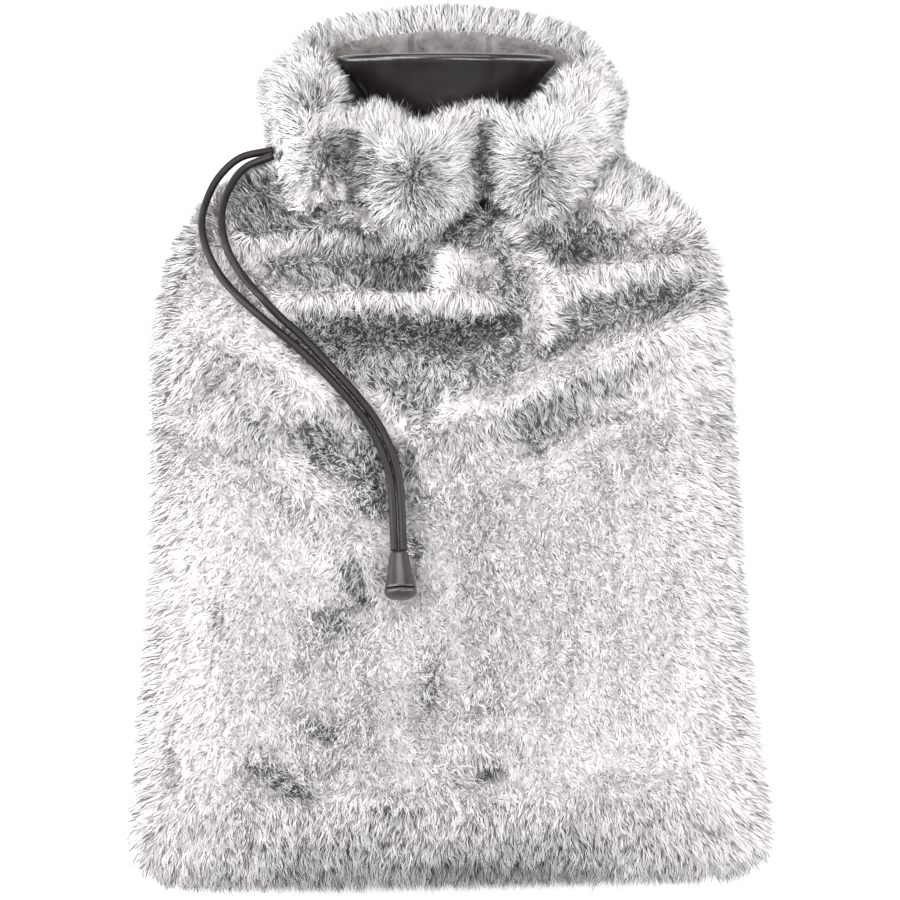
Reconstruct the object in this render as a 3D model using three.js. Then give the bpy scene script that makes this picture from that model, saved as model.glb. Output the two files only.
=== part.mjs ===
import * as THREE from 'three';

// A hot water bottle in its drawstring cover of long-pile faux fur, lying on its back.
// Millimetres, +Z up and +Y towards the funnel. The origin is on the surface, under the middle of the part.

// ---------------------------------------------------------------- driving sizes

const GAP = 0.3; // between two pieces that touch

// The cover, to the level where its pile is dense.
const SHELL = 9; // cloth and pile, measured in from the seams
const BACK_DEPTH = 8; // cloth and pile pressed flat under the bottle
const BOTTOM_Y = -166.2; // lower edge
const CORNER = 17; // radius of the lower corners
const FOOT_SAG = { middle: 0.6, side: 1.6, wave: 46, fade: 6 }; // how unevenly the lower edge lies
const SEAM_Z = 22; // height of the seams
const CROWN_Z = 55; // top of the front over the bottle
const NECK_CROWN_Z = 51.5; // top of the front at the channel
const SHOULDER = { from: 25, height: 60 }; // where the front falls from one to the other
const CROWN_RISE = 3; // how much higher the middle of the front is than its flanks
const FRONT_ROLL = 52; // width over which the front rounds down to the side seams
const FOOT_ROLL = 40; // height over which the front rounds down to the bottom seam
const ROLL_POWER = 2.3; // squareness of the front's rounding
const BACK_ROLL = 22; // width over which the back curls up to the seams

// Half-widths of the cover, left and right of the middle line.
const OUTLINE = [
  { y: -170, left: 123.4, right: 124 },
  { y: -154, left: 124.8, right: 125 },
  { y: -135, left: 123, right: 123 },
  { y: -96, left: 120, right: 117.4 },
  { y: -40, left: 116, right: 112.6 },
  { y: 18, left: 115.4, right: 109.2 },
  { y: 48, left: 114.6, right: 107.6 },
  { y: 65, left: 111.4, right: 105.4 },
  { y: 80, left: 106, right: 100.6 },
  { y: 92, left: 97.6, right: 92.4 },
  { y: 103, left: 85, right: 79.4 },
  { y: 110, left: 74, right: 66.4 },
  { y: 116, left: 63.2, right: 55 },
];

// The channel of the drawstring: a dip across the front and nearly straight across the back. The
// panels' rows start to bow with it at `from`, their share of the way up from the bottom seam.
const CHANNEL = { leftY: 114.5, rightY: 112.5, dip: 19, dipPower: 2.5, bow: 3.5, gap: 0.8, from: 0.66 };

// Ridges (+) and hollows (-) of the front: height, half-width, and the line they follow as [x, y].
const FOLDS = [
  { height: 5.5, wide: 7.5, line: [[-72, 56], [-54, 61], [-38, 62], [-4, 61], [14, 61]] },
  { height: -4.5, wide: 7.5, line: [[-33, 72], [-18, 71], [-8, 71]] },
  { height: 4, wide: 6.5, line: [[-4, 78], [-2, 64]] },
  { height: 4.5, wide: 8, line: [[-104, 77], [-81, 82], [-61, 85], [-46, 85], [-30, 80]] },
  { height: -3.5, wide: 9, line: [[-86, 96], [-70, 97], [-58, 95]] },
  { height: -3, wide: 7, line: [[-92, 68], [-70, 72], [-44, 73]] },
  { height: 4.5, wide: 8, line: [[15, 84], [29, 75], [37, 61], [37, 46]] },
  { height: -4.5, wide: 6.5, line: [[30, 82], [37, 75], [47, 73]] },
  { height: 4.5, wide: 7.5, line: [[43, 69], [65, 72], [88, 76], [101, 78]] },
  { height: 3, wide: 7.5, line: [[56, 94], [74, 92], [92, 85]] },
  { height: -3, wide: 8, line: [[50, 84], [66, 82], [84, 83]] },
  { height: 4.5, wide: 8.5, line: [[-14, 5], [8, 9], [27, 17], [46, 26], [65, 36], [81, 44], [98, 52]] },
  { height: -3, wide: 10, line: [[46, 44], [66, 54], [92, 64]] },
  { height: -2.5, wide: 11, line: [[24, 1], [50, 11], [74, 21]] },
  { height: -3, wide: 10, line: [[-20, 22], [-14, 17]] },
  { height: 2.5, wide: 11, line: [[-108, 46], [-76, 34], [-42, 19]] },
  { height: 2.5, wide: 12, line: [[-98, 34], [-70, 2], [-34, -40]] },
  { height: -2, wide: 11, line: [[-100, 18], [-78, -8], [-56, -38]] },
  { height: 3, wide: 10, line: [[-42, 48], [-22, 36], [-2, 30]] },
  { height: -1.6, wide: 10, line: [[-62, -122], [-48, -128]] },
  { height: -1.6, wide: 9, line: [[10, -124], [22, -124]] },
  { height: -1.6, wide: 10, line: [[58, -114], [74, -112]] },
  { height: -2.4, wide: 8, line: [[-112, -150], [-40, -147], [30, -150], [112, -146]] },
];

// The gathered heading, once round: its turn (0 right, 90 front, 180 left, 270 back), the middle
// of its free edge as x, y and z, how far its pile puffs outwards and droops over the channel.
const HEADING = [
  { turn: -10, x: 51, y: 145, z: 29, puff: 9, droop: 0 },
  { turn: 12, x: 45, y: 144.5, z: 40, puff: 9, droop: 0 },
  { turn: 27, x: 40.5, y: 138, z: 46.5, puff: 11, droop: 3 },
  { turn: 40, x: 35, y: 133.5, z: 50.5, puff: 15, droop: 11 },
  { turn: 57, x: 27, y: 128, z: 54.4, puff: 18, droop: 16 },
  { turn: 69, x: 17, y: 129.5, z: 53, puff: 13, droop: 9 },
  { turn: 77, x: 10, y: 129.5, z: 51, puff: 1, droop: 0 },
  { turn: 86, x: 2, y: 128, z: 52.5, puff: 12, droop: 10 },
  { turn: 101, x: -11, y: 123, z: 54.8, puff: 18, droop: 18 },
  { turn: 114, x: -23, y: 129, z: 53, puff: 14, droop: 12 },
  { turn: 125, x: -31, y: 129.5, z: 51.5, puff: 2, droop: 8 },
  { turn: 134, x: -38, y: 127.5, z: 51, puff: 9, droop: 14 },
  { turn: 148, x: -42, y: 135, z: 51, puff: 15, droop: 23 },
  { turn: 166, x: -45.5, y: 142, z: 44, puff: 13, droop: 3 },
  { turn: 186, x: -49, y: 149, z: 35, puff: 14, droop: 0 },
  { turn: 206, x: -55, y: 154, z: 20, puff: 14, droop: 0 },
  { turn: 228, x: -46, y: 161.5, z: 8, puff: 6, droop: 0 },
  { turn: 250, x: -24, y: 165, z: 4, puff: 0, droop: 0 },
  { turn: 270, x: -3, y: 167, z: 4, puff: 0, droop: 0 },
  { turn: 292, x: 20, y: 165.3, z: 4, puff: 0, droop: 0 },
  { turn: 314, x: 43, y: 160.5, z: 8, puff: 4, droop: 0 },
  { turn: 332, x: 53, y: 152, z: 18, puff: 8, droop: 0 },
];
const HEADING_STATIONS = 96;
const PUFF_POINTS = 7; // steps along a puff's outside
const PUFF_SHAPE = { foot: 0.42, low: 0.95, sideLow: 0.35, lowAt: 0.3, highAt: 0.68 }; // from the channel to the edge
const INSIDE_AT = [0, 0.3, 0.65, 1]; // points down a puff's inside, from the edge
const HEADING_LEAN = 0.55; // how much less the pile puffs sideways than forwards
const HEM_ROUND = 2.5; // how far the free edge bulges past its middle
const DROOP_CLEARANCE = 1.4; // between a drooping puff and the front under it

// The lining that shows inside the back of the heading, between two stations of it and two shares
// of the way from the channel to the edge.
const LINING = {
  depth: 1.6, gap: 0.7, first: 53, last: 91, rows: 6, low: 0.1, high: 0.9, pucker: 0.8, puckers: 5,
};

// The rubber bottle, from its foot over the rolled rim and down to the blind end of the bore:
// height along the part, middle height, half-width and half-depth of its oval.
const BOTTLE_X = -1.7;
const BOTTLE = [
  { y: -152.4, z: 26.9, wide: 62, deep: 3.5 },
  { y: -149.4, z: 26.9, wide: 78, deep: 7 },
  { y: -142.4, z: 26.9, wide: 88, deep: 11.5 },
  { y: -130, z: 26.9, wide: 94.5, deep: 15.6 },
  { y: -112, z: 26.9, wide: 97.5, deep: 17.8 },
  { y: -85, z: 26.9, wide: 98.5, deep: 18.5 },
  { y: 10, z: 26.9, wide: 98, deep: 18.5 },
  { y: 38, z: 26.9, wide: 96, deep: 17.8 },
  { y: 58, z: 26.9, wide: 90, deep: 16 },
  { y: 74, z: 27, wide: 78, deep: 14.2 },
  { y: 86, z: 27.3, wide: 60, deep: 13.6 },
  { y: 96, z: 27.6, wide: 41, deep: 13.8 },
  { y: 104, z: 28, wide: 28, deep: 13.6 },
  { y: 111, z: 28.6, wide: 22.5, deep: 13.6 },
  { y: 118, z: 29.4, wide: 22, deep: 14 },
  { y: 125, z: 30.3, wide: 25, deep: 14.8 },
  { y: 135, z: 31.6, wide: 31.5, deep: 17 },
  { y: 143.5, z: 32.6, wide: 38.5, deep: 20 },
  { y: 146.2, z: 33, wide: 41, deep: 21.4 },
  { y: 147.2, z: 33, wide: 42.2, deep: 22.2 },
  { y: 149, z: 33, wide: 42.6, deep: 22.4 },
  { y: 150.3, z: 33, wide: 41.8, deep: 21.6 },
  { y: 150.4, z: 33, wide: 40, deep: 19.8 },
  { y: 148.6, z: 33, wide: 38.8, deep: 18.8 },
  { y: 143.5, z: 32.6, wide: 35.6, deep: 17.2 },
  { y: 135, z: 31.6, wide: 28.6, deep: 14.2 },
  { y: 126, z: 30.4, wide: 20.4, deep: 11.8 },
  { y: 121, z: 29.8, wide: 13.6, deep: 11.2 },
  { y: 118.5, z: 29.4, wide: 11.4, deep: 10.6 },
  { y: 94, z: 27.6, wide: 11.4, deep: 10.6 },
];
const BOTTLE_SIDES = 32;
const BOTTLE_POWER = 2.4; // squareness of the body's oval
const NECK = { from: 40, to: 90, power: 2 }; // between these heights its oval turns into a true one

// Two strands of the drawstring, from the channel's left end to the bell, as [x, y, z].
const CORD_DIAMETER = 3;
const CORD_SIDES = 8;
const CORD_STEP = 7.2; // length of cord to each step of its tube
const CORD_OUTER = [
  [-67.8, 114.3, 33], [-80.4, 111.3, 33.5], [-88.7, 103.6, 34.5], [-93.5, 93.1, 39.6],
  [-94.5, 85.4, 46.6], [-92.4, 75.6, 51.4], [-87.4, 66.1, 53.6], [-79.6, 57.2, 58.9],
  [-71.1, 49.6, 61.4], [-64.3, 43.9, 61.2], [-57.6, 38.3, 61.2], [-46.5, 27.7, 62.2],
  [-37.1, 17.3, 62.5], [-29.7, 7.4, 61.6], [-25, -2.9, 61.4], [-22.5, -11.9, 61],
  [-21.7, -21.2, 61], [-21.3, -30.7, 61.6], [-20.9, -38.6, 63.2],
];
const CORD_INNER = [
  [-67.6, 111.8, 39.6], [-78.3, 107.4, 37.3], [-84, 99.7, 41.1], [-86.8, 89.1, 48.9], [-85.1, 77.5, 54.8],
  [-79.7, 67.2, 56.4], [-71.1, 57.1, 62.5], [-64.3, 50, 61.6], [-56.1, 42.7, 61],
  [-44.4, 30.5, 62], [-34.7, 19.7, 62.3], [-27, 9.3, 61.5], [-21.8, -1.7, 61.7],
  [-19.3, -11.5, 61.1], [-18.4, -21.2, 61], [-18, -30.7, 61.6], [-17.7, -38.6, 63.2],
];

// The bell on the cord's end: its place, turn, and profile as [radius, distance from its top].
const BELL = { x: -19.3, y: -39.1, z: 63.4, turn: 0.045, tip: -0.19, sides: 16 };
const BELL_PROFILE = [
  [0, 0], [2.9, 0], [3.5, 0.4], [3.7, 1.2], [4.3, 5], [5.1, 9.5], [6, 13.4], [5.9, 13.8], [0, 13.8],
];
const BELL_CAP_PROFILE = [
  [0, 14.1], [5.5, 14.1], [6.1, 14.6], [6.15, 15.4], [5.7, 16.6], [4.4, 17.5], [2.4, 18], [0, 18.1],
];

// ---------------------------------------------------------------- small helpers

const clamp = (value, low, high) => Math.min(Math.max(value, low), high);
const mix = (a, b, share) => a + (b - a) * share;
const smooth = (value) => {
  const t = clamp(value, 0, 1);
  return t * t * (3 - 2 * t);
};

// A column of a table at any value of its first column, on a smooth curve through the rows.
function read(table, key, column, value, period = 0) {
  const count = table.length;
  const row = (i) => {
    const turns = Math.floor(i / count);
    const found = table[i - turns * count];
    return { at: found[key] + turns * period, is: found[column] };
  };
  const ends = (i) => (period ? row(i) : row(clamp(i, 0, count - 1)));
  let i = period ? -1 : 0;
  while ((period || i < count - 2) && row(i + 1).at <= value) i += 1;
  const [a, b, c, d] = [ends(i - 1), ends(i), ends(i + 1), ends(i + 2)];
  const slope = (p, q) => (q.at === p.at ? 0 : (q.is - p.is) / (q.at - p.at));
  const span = c.at - b.at;
  const t = clamp((value - b.at) / span, 0, 1);
  const leave = slope(a, c) * span;
  const enter = slope(b, d) * span;
  const t2 = t * t;
  const t3 = t2 * t;
  return b.is * (2 * t3 - 3 * t2 + 1) + leave * (t3 - 2 * t2 + t)
    + c.is * (3 * t2 - 2 * t3) + enter * (t3 - t2);
}

function geometryOf(points, faces) {
  const geometry = new THREE.BufferGeometry();
  geometry.setAttribute('position', new THREE.Float32BufferAttribute(points.flat(), 3));
  geometry.setIndex(faces.flat());
  geometry.computeVertexNormals();
  return geometry;
}

// A closed solid from an outer grid, an inner grid of every second point, and the wall between them.
function shell(outerAt, innerAt, columns, rows, up) {
  const points = [];
  const faces = [];
  const grid = (pointAt, step) => {
    const start = points.length;
    const wide = columns / step + 1;
    for (let j = 0; j <= rows; j += step) {
      for (let i = 0; i <= columns; i += step) points.push(pointAt(i, j));
    }
    return (i, j) => start + (j / step) * wide + i / step;
  };
  const face = (a, b, c, flip) => faces.push(flip ? [a, c, b] : [a, b, c]);
  const cover = (at, step, flip) => {
    for (let j = 0; j < rows; j += step) {
      for (let i = 0; i < columns; i += step) {
        const [a, b, c, d] = [at(i, j), at(i + step, j), at(i + step, j + step), at(i, j + step)];
        face(a, b, c, flip);
        face(a, c, d, flip);
      }
    }
  };
  const outer = grid(outerAt, 1);
  const inner = grid(innerAt, 2);
  cover(outer, 1, !up);
  cover(inner, 2, up);
  const rim = [];
  for (let i = 0; i < columns; i += 1) rim.push([i, 0]);
  for (let j = 0; j < rows; j += 1) rim.push([columns, j]);
  for (let i = columns; i > 0; i -= 1) rim.push([i, rows]);
  for (let j = rows; j > 0; j -= 1) rim.push([0, j]);
  for (let k = 0; k < rim.length; k += 2) {
    const [first, middle, last] = [0, 1, 2].map((n) => outer(...rim[(k + n) % rim.length]));
    const [near, far] = [inner(...rim[k]), inner(...rim[(k + 2) % rim.length])];
    face(near, middle, first, !up);
    face(near, far, middle, !up);
    face(far, last, middle, !up);
  }
  return geometryOf(points, faces);
}

// A closed solid through rings of equally many points, open like a tyre or with flat ends.
function loft(rings, closed) {
  const count = rings[0].length;
  const points = rings.flat();
  const faces = [];
  const spans = closed ? rings.length : rings.length - 1;
  for (let r = 0; r < spans; r += 1) {
    const here = r * count;
    const next = ((r + 1) % rings.length) * count;
    for (let i = 0; i < count; i += 1) {
      const j = (i + 1) % count;
      faces.push([here + i, here + j, next + j], [here + i, next + j, next + i]);
    }
  }
  if (!closed) {
    const ends = [[rings[0], 0, true], [rings.at(-1), (rings.length - 1) * count, false]];
    for (const [ring, start, first] of ends) {
      const middle = [0, 1, 2].map((axis) => ring.reduce((sum, p) => sum + p[axis], 0) / count);
      const hub = points.push(middle) - 1;
      for (let i = 0; i < count; i += 1) {
        const [a, b] = [start + i, start + ((i + 1) % count)];
        faces.push(first ? [hub, b, a] : [hub, a, b]);
      }
    }
  }
  return geometryOf(points, faces);
}

// ---------------------------------------------------------------- the shape of the cover

const leftAt = (y) => -read(OUTLINE, 'y', 'left', y);
const rightAt = (y) => read(OUTLINE, 'y', 'right', y);

// How far a lower corner draws the outline in at this height.
function cornerInset(y, inset) {
  const radius = CORNER - inset;
  const drop = clamp(BOTTOM_Y + CORNER - y, 0, radius);
  return radius - Math.sqrt(radius * radius - drop * drop);
}

// How far the lower edge hangs below its mean line here, which fades out up the cover.
function footSag(x, along) {
  const { middle, side, wave, fade } = FOOT_SAG;
  return (middle * Math.cos(x / wave + 1) - side * (x / rightAt(BOTTOM_Y))) * (1 - along) ** fade;
}

// Height of the folds at a place: each is highest on its line and fades out away from it.
function foldAt(x, y) {
  let sum = 0;
  for (const { height, wide, line } of FOLDS) {
    let nearest = Infinity;
    for (let k = 0; k + 1 < line.length; k += 1) {
      const [[ax, ay], [bx, by]] = [line[k], line[k + 1]];
      const [dx, dy] = [bx - ax, by - ay];
      const t = clamp(((x - ax) * dx + (y - ay) * dy) / (dx * dx + dy * dy), 0, 1);
      nearest = Math.min(nearest, Math.hypot(x - ax - t * dx, y - ay - t * dy));
    }
    sum += height * Math.exp(-((nearest / wide) ** 2));
  }
  return sum;
}

// Rounding from 0 at a seam to 1 where the cloth has turned level.
function rounding(distance, over, power) {
  const left = 1 - clamp(distance / over, 0, 1);
  return (1 - left ** power) ** (1 / power);
}

function rounded(x, y, inset, side, foot, power) {
  const edge = inset + cornerInset(y, inset);
  const left = rounding(x - leftAt(y) - edge, side, power);
  const right = rounding(rightAt(y) - edge - x, side, power);
  return left * right * rounding(y - BOTTOM_Y - inset, foot, power);
}

function frontZ(x, y, inset) {
  const crown = mix(CROWN_Z, NECK_CROWN_Z, smooth((y - SHOULDER.from) / SHOULDER.height));
  const level = crown + CROWN_RISE * (1 - (x / rightAt(y)) ** 2) + foldAt(x, y) - inset;
  return mix(SEAM_Z, level, rounded(x, y, inset, FRONT_ROLL, FOOT_ROLL, ROLL_POWER));
}

function backZ(x, y, inset) {
  const level = inset ? BACK_DEPTH : 0;
  return mix(SEAM_Z, level, rounded(x, y, inset, BACK_ROLL - inset, BACK_ROLL - inset, 2));
}

const FRONT = {
  heightAt: frontZ,
  dip: (across) => -CHANNEL.dip * (1 - Math.abs(across) ** CHANNEL.dipPower),
};
const BACK = {
  heightAt: backZ,
  dip: (across) => CHANNEL.bow * (1 - across * across),
};

// A point of a side of the cover: across runs from -1 to 1 between the side seams, along from 0
// at the bottom seam to 1 at the channel, and the rows bow with the channel near it.
function coverPoint({ heightAt, dip }, across, along, inset) {
  const low = BOTTOM_Y + inset;
  const [leftY, rightY] = [CHANNEL.leftY, CHANNEL.rightY].map((top) => mix(low, top, along));
  const leftX = leftAt(leftY) + inset + cornerInset(leftY, inset);
  const rightX = rightAt(rightY) - inset - cornerInset(rightY, inset);
  const share = (across + 1) / 2;
  const x = mix(leftX, rightX, share);
  const y = mix(leftY, rightY, share) + dip(across) * smooth((along - CHANNEL.from) / (1 - CHANNEL.from));
  return [x, y - footSag(x, along), heightAt(x, y, inset)];
}

// ---------------------------------------------------------------- front and back panels

const FOOT_ROWS = [0, 1.5, 4.5, 9, 15, 22, 30]; // rows are closer where a panel rounds to its bottom seam
const SIDE_CROWDING = 0.4; // how much closer the columns are at the side seams

function panel({ side, columns, rows, lift, up }) {
  const length = CHANNEL.leftY - BOTTOM_Y;
  const last = FOOT_ROWS.length - 1;
  const alongOf = (j) => (j <= last
    ? FOOT_ROWS[j] / length
    : mix(FOOT_ROWS[last] / length, 1, (j - last) / (rows - last)));
  const acrossOf = (i) => {
    const t = (2 * i) / columns - 1;
    return mix(t, Math.sin((t * Math.PI) / 2), SIDE_CROWDING);
  };
  const at = (inset) => (i, j) => {
    const [x, y, z] = coverPoint(side, acrossOf(i), alongOf(j), inset);
    return [x, y, z + lift];
  };
  return shell(at(0), at(SHELL), columns, rows, up);
}

// ---------------------------------------------------------------- heading and its lining

const along3 = (a, b, share) => [0, 1, 2].map((axis) => mix(a[axis], b[axis], share));
const shift = (p, n, distance, dy = 0) => [p[0] + n[0] * distance, p[1] + dy, p[2] + n[2] * distance];

// Where the heading's cloth starts, just past the channel, on its outside or its inside.
function headingRoot(turn, inset) {
  const angle = THREE.MathUtils.degToRad(turn);
  const side = Math.sin(angle) >= 0 ? FRONT : BACK;
  const [x, y, z] = coverPoint(side, Math.cos(angle), 1, inset);
  return [x, y + CHANNEL.gap, z];
}

// The section of the heading at a turn: its outside with the puff, the free edge and its inside.
function headingSection(turn) {
  const angle = THREE.MathUtils.degToRad(turn);
  const at = (column) => read(HEADING, 'turn', column, turn, 360);
  const lean = Math.hypot(HEADING_LEAN * Math.cos(angle), Math.sin(angle));
  const out = [(HEADING_LEAN * Math.cos(angle)) / lean, 0, Math.sin(angle) / lean];
  const edge = [at('x'), at('y'), at('z')];
  const [root, rootIn] = [headingRoot(turn, 0), headingRoot(turn, SHELL)];
  const half = (edge[2] <= BACK_DEPTH ? BACK_DEPTH : SHELL) / 2;
  const [tip, tipIn] = [shift(edge, out, half), shift(edge, out, -half)];
  const [puff, droop] = [at('puff'), at('droop')];
  const lip = shift(root, out, puff ? DROOP_CLEARANCE : 0, puff ? 0 : 1);
  const full = Math.abs(Math.sin(angle)); // a puff at a side starts higher than one at the front
  const [foot, low] = [PUFF_SHAPE.foot * full, mix(PUFF_SHAPE.sideLow, PUFF_SHAPE.low, full)];
  const outside = new THREE.CatmullRomCurve3([
    lip,
    shift(root, out, foot * puff + DROOP_CLEARANCE, -droop),
    shift(along3(root, tip, PUFF_SHAPE.lowAt), out, low * puff, -PUFF_SHAPE.lowAt * droop),
    shift(along3(root, tip, PUFF_SHAPE.highAt), out, puff),
    tip,
  ].map((p) => new THREE.Vector3(...p)));
  const points = [root, ...outside.getPoints(PUFF_POINTS).map(({ x, y, z }) => {
    const under = y < root[1] && out[2] > 0 ? frontZ(x, y, 0) + GAP + DROOP_CLEARANCE : 0;
    return [x, y, Math.max(z, under)];
  })];
  points.push(shift(along3(tip, tipIn, 0.5), out, 0, HEM_ROUND));
  for (const share of INSIDE_AT) points.push(along3(tipIn, rootIn, share));
  return { points, out, tipIn, rootIn };
}

const stationTurn = (station) => (360 * station) / HEADING_STATIONS;

function heading() {
  const rings = [];
  for (let k = 0; k < HEADING_STATIONS; k += 1) rings.push(headingSection(stationTurn(k)).points);
  return loft(rings, true);
}

function lining() {
  const [columns, rows] = [LINING.last - LINING.first, LINING.rows];
  const at = (lift) => (i, j) => {
    const { out, tipIn, rootIn } = headingSection(stationTurn(LINING.first + i));
    const along = mix(LINING.low, LINING.high, j / rows);
    const turn = (Math.PI * i) / columns;
    const pucker = LINING.pucker * Math.max(Math.cos(2 * LINING.puckers * turn), 0) * Math.sin(turn);
    return shift(along3(rootIn, tipIn, along), out, -lift - (lift > LINING.gap ? pucker : 0));
  };
  return shell(at(LINING.gap + LINING.depth), at(LINING.gap), columns, rows, true);
}

// ---------------------------------------------------------------- bottle

function bottle() {
  const rings = BOTTLE.map(({ y, z, wide, deep }) => {
    const power = 2 / mix(BOTTLE_POWER, NECK.power, smooth((y - NECK.from) / (NECK.to - NECK.from)));
    return Array.from({ length: BOTTLE_SIDES }, (_, k) => {
      const angle = (-2 * Math.PI * k) / BOTTLE_SIDES;
      const [c, s] = [Math.cos(angle), Math.sin(angle)];
      const x = BOTTLE_X + wide * Math.sign(c) * Math.abs(c) ** power;
      return [x, y, z + deep * Math.sign(s) * Math.abs(s) ** power];
    });
  });
  return loft(rings, false);
}

// ---------------------------------------------------------------- drawstring and its bell

function cord(route) {
  const path = new THREE.CatmullRomCurve3(route.map((p) => new THREE.Vector3(...p)));
  const section = new THREE.Shape();
  const radius = CORD_DIAMETER / 2;
  for (let k = 0; k < CORD_SIDES; k += 1) {
    const angle = (2 * Math.PI * k) / CORD_SIDES;
    const [x, y] = [radius * Math.cos(angle), radius * Math.sin(angle)];
    if (k) section.lineTo(x, y);
    else section.moveTo(x, y);
  }
  const steps = Math.round(path.getLength() / CORD_STEP);
  return new THREE.ExtrudeGeometry(section, { extrudePath: path, steps, bevelEnabled: false });
}

// A turned piece of the bell, which lies with its top towards the cord.
function turned(profile) {
  const points = profile.map(([radius, down]) => new THREE.Vector2(radius, -down));
  return new THREE.LatheGeometry(points.reverse(), BELL.sides);
}

// ---------------------------------------------------------------- the part

const look = (color, roughness) => new THREE.MeshStandardMaterial({ color, roughness, metalness: 0 });
const FUR = look(0xd8d3d5, 0.95);
const VELOUR = look(0xa09a98, 0.95);
const RUBBER = look(0x3a3335, 0.45);
const BRAID = look(0x2f292a, 0.6);
const PLASTIC = look(0x3b3537, 0.3);

const part = new THREE.Group();

function add(name, geometry, material, parent = part) {
  const mesh = new THREE.Mesh(geometry, material.clone());
  mesh.name = name;
  parent.add(mesh);
}

add('front_panel', panel({ side: FRONT, columns: 38, rows: 44, lift: GAP, up: true }), FUR);
add('back_panel', panel({ side: BACK, columns: 28, rows: 30, lift: 0, up: false }), FUR);
add('heading', heading(), FUR);
add('heading_lining', lining(), VELOUR);
add('bottle', bottle(), RUBBER);
add('cord_outer', cord(CORD_OUTER), BRAID);
add('cord_inner', cord(CORD_INNER), BRAID);

const bell = new THREE.Group();
bell.position.set(BELL.x, BELL.y, BELL.z);
bell.rotation.set(BELL.tip, 0, BELL.turn);
add('cord_bell', turned(BELL_PROFILE), PLASTIC, bell);
add('cord_bell_cap', turned(BELL_CAP_PROFILE), PLASTIC, bell);
part.add(bell);

export default part;
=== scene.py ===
# %% [markdown]
# # A hot water bottle in its drawstring fur cover
# The cover is a flat bag of long-pile faux fur, gathered at the neck into a ruffle by a cord with a
# bell on its end. The rubber bottle inside shows only its funnel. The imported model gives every
# solid at its real size, and this lesson dresses it: each solid of cloth turns into a thin cloth
# with hundreds of thousands of blades of fur on it, and the hard pieces get smooth shapes and fine
# materials.

# %% Load the fixed frame
import math

import bpy
import numpy as np
from mathutils import Matrix, Vector
from mathutils.bvhtree import BVHTree


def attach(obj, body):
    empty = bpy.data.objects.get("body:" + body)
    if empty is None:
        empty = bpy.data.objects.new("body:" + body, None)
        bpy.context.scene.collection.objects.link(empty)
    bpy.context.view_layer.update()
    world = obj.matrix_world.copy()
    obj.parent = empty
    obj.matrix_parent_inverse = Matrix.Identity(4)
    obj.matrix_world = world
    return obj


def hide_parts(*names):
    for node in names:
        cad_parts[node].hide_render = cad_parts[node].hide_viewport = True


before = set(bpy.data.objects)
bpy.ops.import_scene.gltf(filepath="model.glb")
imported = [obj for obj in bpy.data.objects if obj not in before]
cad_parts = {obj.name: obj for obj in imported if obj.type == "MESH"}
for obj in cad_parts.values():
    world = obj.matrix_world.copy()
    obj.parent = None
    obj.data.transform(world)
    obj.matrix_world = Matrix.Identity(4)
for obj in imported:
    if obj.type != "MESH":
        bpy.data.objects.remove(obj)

for name in ("Cube", "Light"):
    if name in bpy.data.objects:
        bpy.data.objects.remove(bpy.data.objects[name])
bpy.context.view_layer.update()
MM = 0.001
ROOT = "root"
print("nodes:", sorted(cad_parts))

# %% [markdown]
# ## Selecting one piece
# Operators act on whatever is selected, and a freshly loaded frame is selected all over. So every
# step that uses an operator begins here: back to object mode, nothing selected, then this piece.

# %% Selecting one piece
def select_only(piece):
    if bpy.context.object and bpy.context.object.mode != "OBJECT":
        bpy.ops.object.mode_set(mode="OBJECT")
    bpy.ops.object.select_all(action="DESELECT")
    piece.select_set(True)
    bpy.context.view_layer.objects.active = piece


print("selection ready")

# %% [markdown]
# ## Colours and nodes
# A colour is written as its sRGB hex value and turned to linear light once, here. One function adds
# any shader node with its settings and links, and every material below is built from it. Another
# links the results to the shader, and a third puts the finished material on its pieces. What is the
# same all over a surface is set straight on the shader.

# %% Colours and nodes
def colour(hex_value):
    channels = [int(hex_value[i:i + 2], 16) / 255 for i in (1, 3, 5)]
    linear = [c / 12.92 if c <= 0.04045 else ((c + 0.055) / 1.055) ** 2.4 for c in channels]
    return (*linear, 1.0)


def new_material(name, **shader):
    """A material whose shader has these plain values, and that shader."""
    material = bpy.data.materials.new(name)
    material.use_nodes = True
    surface = material.node_tree.nodes["Principled BSDF"]
    for key, value in shader.items():
        surface.inputs[key.replace("_", " ")].default_value = value
    return material, surface


def add_node(material, kind, inputs=None, stops=None, **settings):
    """A node with its settings, its inputs as values or sockets, and any colour stops."""
    made = material.node_tree.nodes.new(kind)
    for key, value in settings.items():
        setattr(made, key, value)
    for key, value in (inputs or {}).items():
        if isinstance(value, bpy.types.NodeSocket):
            material.node_tree.links.new(value, made.inputs[key])
        else:
            made.inputs[key].default_value = value
    for index, (place, hex_value) in enumerate(stops or []):
        bar = made.color_ramp.elements
        element = bar[index] if index < 2 else bar.new(place)
        element.position = place
        element.color = colour(hex_value)
    return made


def paint(material, shader, **sockets):
    """Links each socket to the shader's input of that name."""
    for key, socket in sockets.items():
        material.node_tree.links.new(socket, shader.inputs[key.replace("_", " ")])


def coat(material, *pieces):
    for piece in pieces:
        piece.data.materials.append(material)
    print(material.name, "on", ", ".join(piece.name for piece in pieces))


print("colours and nodes ready")

# %% [markdown]
# ## Camera
# The bottle lies on its back, and the camera looks straight down on it from 2.5 m through a long
# lens, so there is hardly any perspective. The lens follows from how wide a strip of the seams'
# level the picture spans.

# %% Camera
CAMERA_HEIGHT = 2.5
VIEW_WIDTH = 346.1 * MM  # what the frame spans at the height of the seams
SEAM_HEIGHT = 21 * MM
VIEW_MIDDLE = -0.4 * MM  # where along Y the camera points
VIEW_DEPTH = 20
SENSOR = 36

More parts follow.
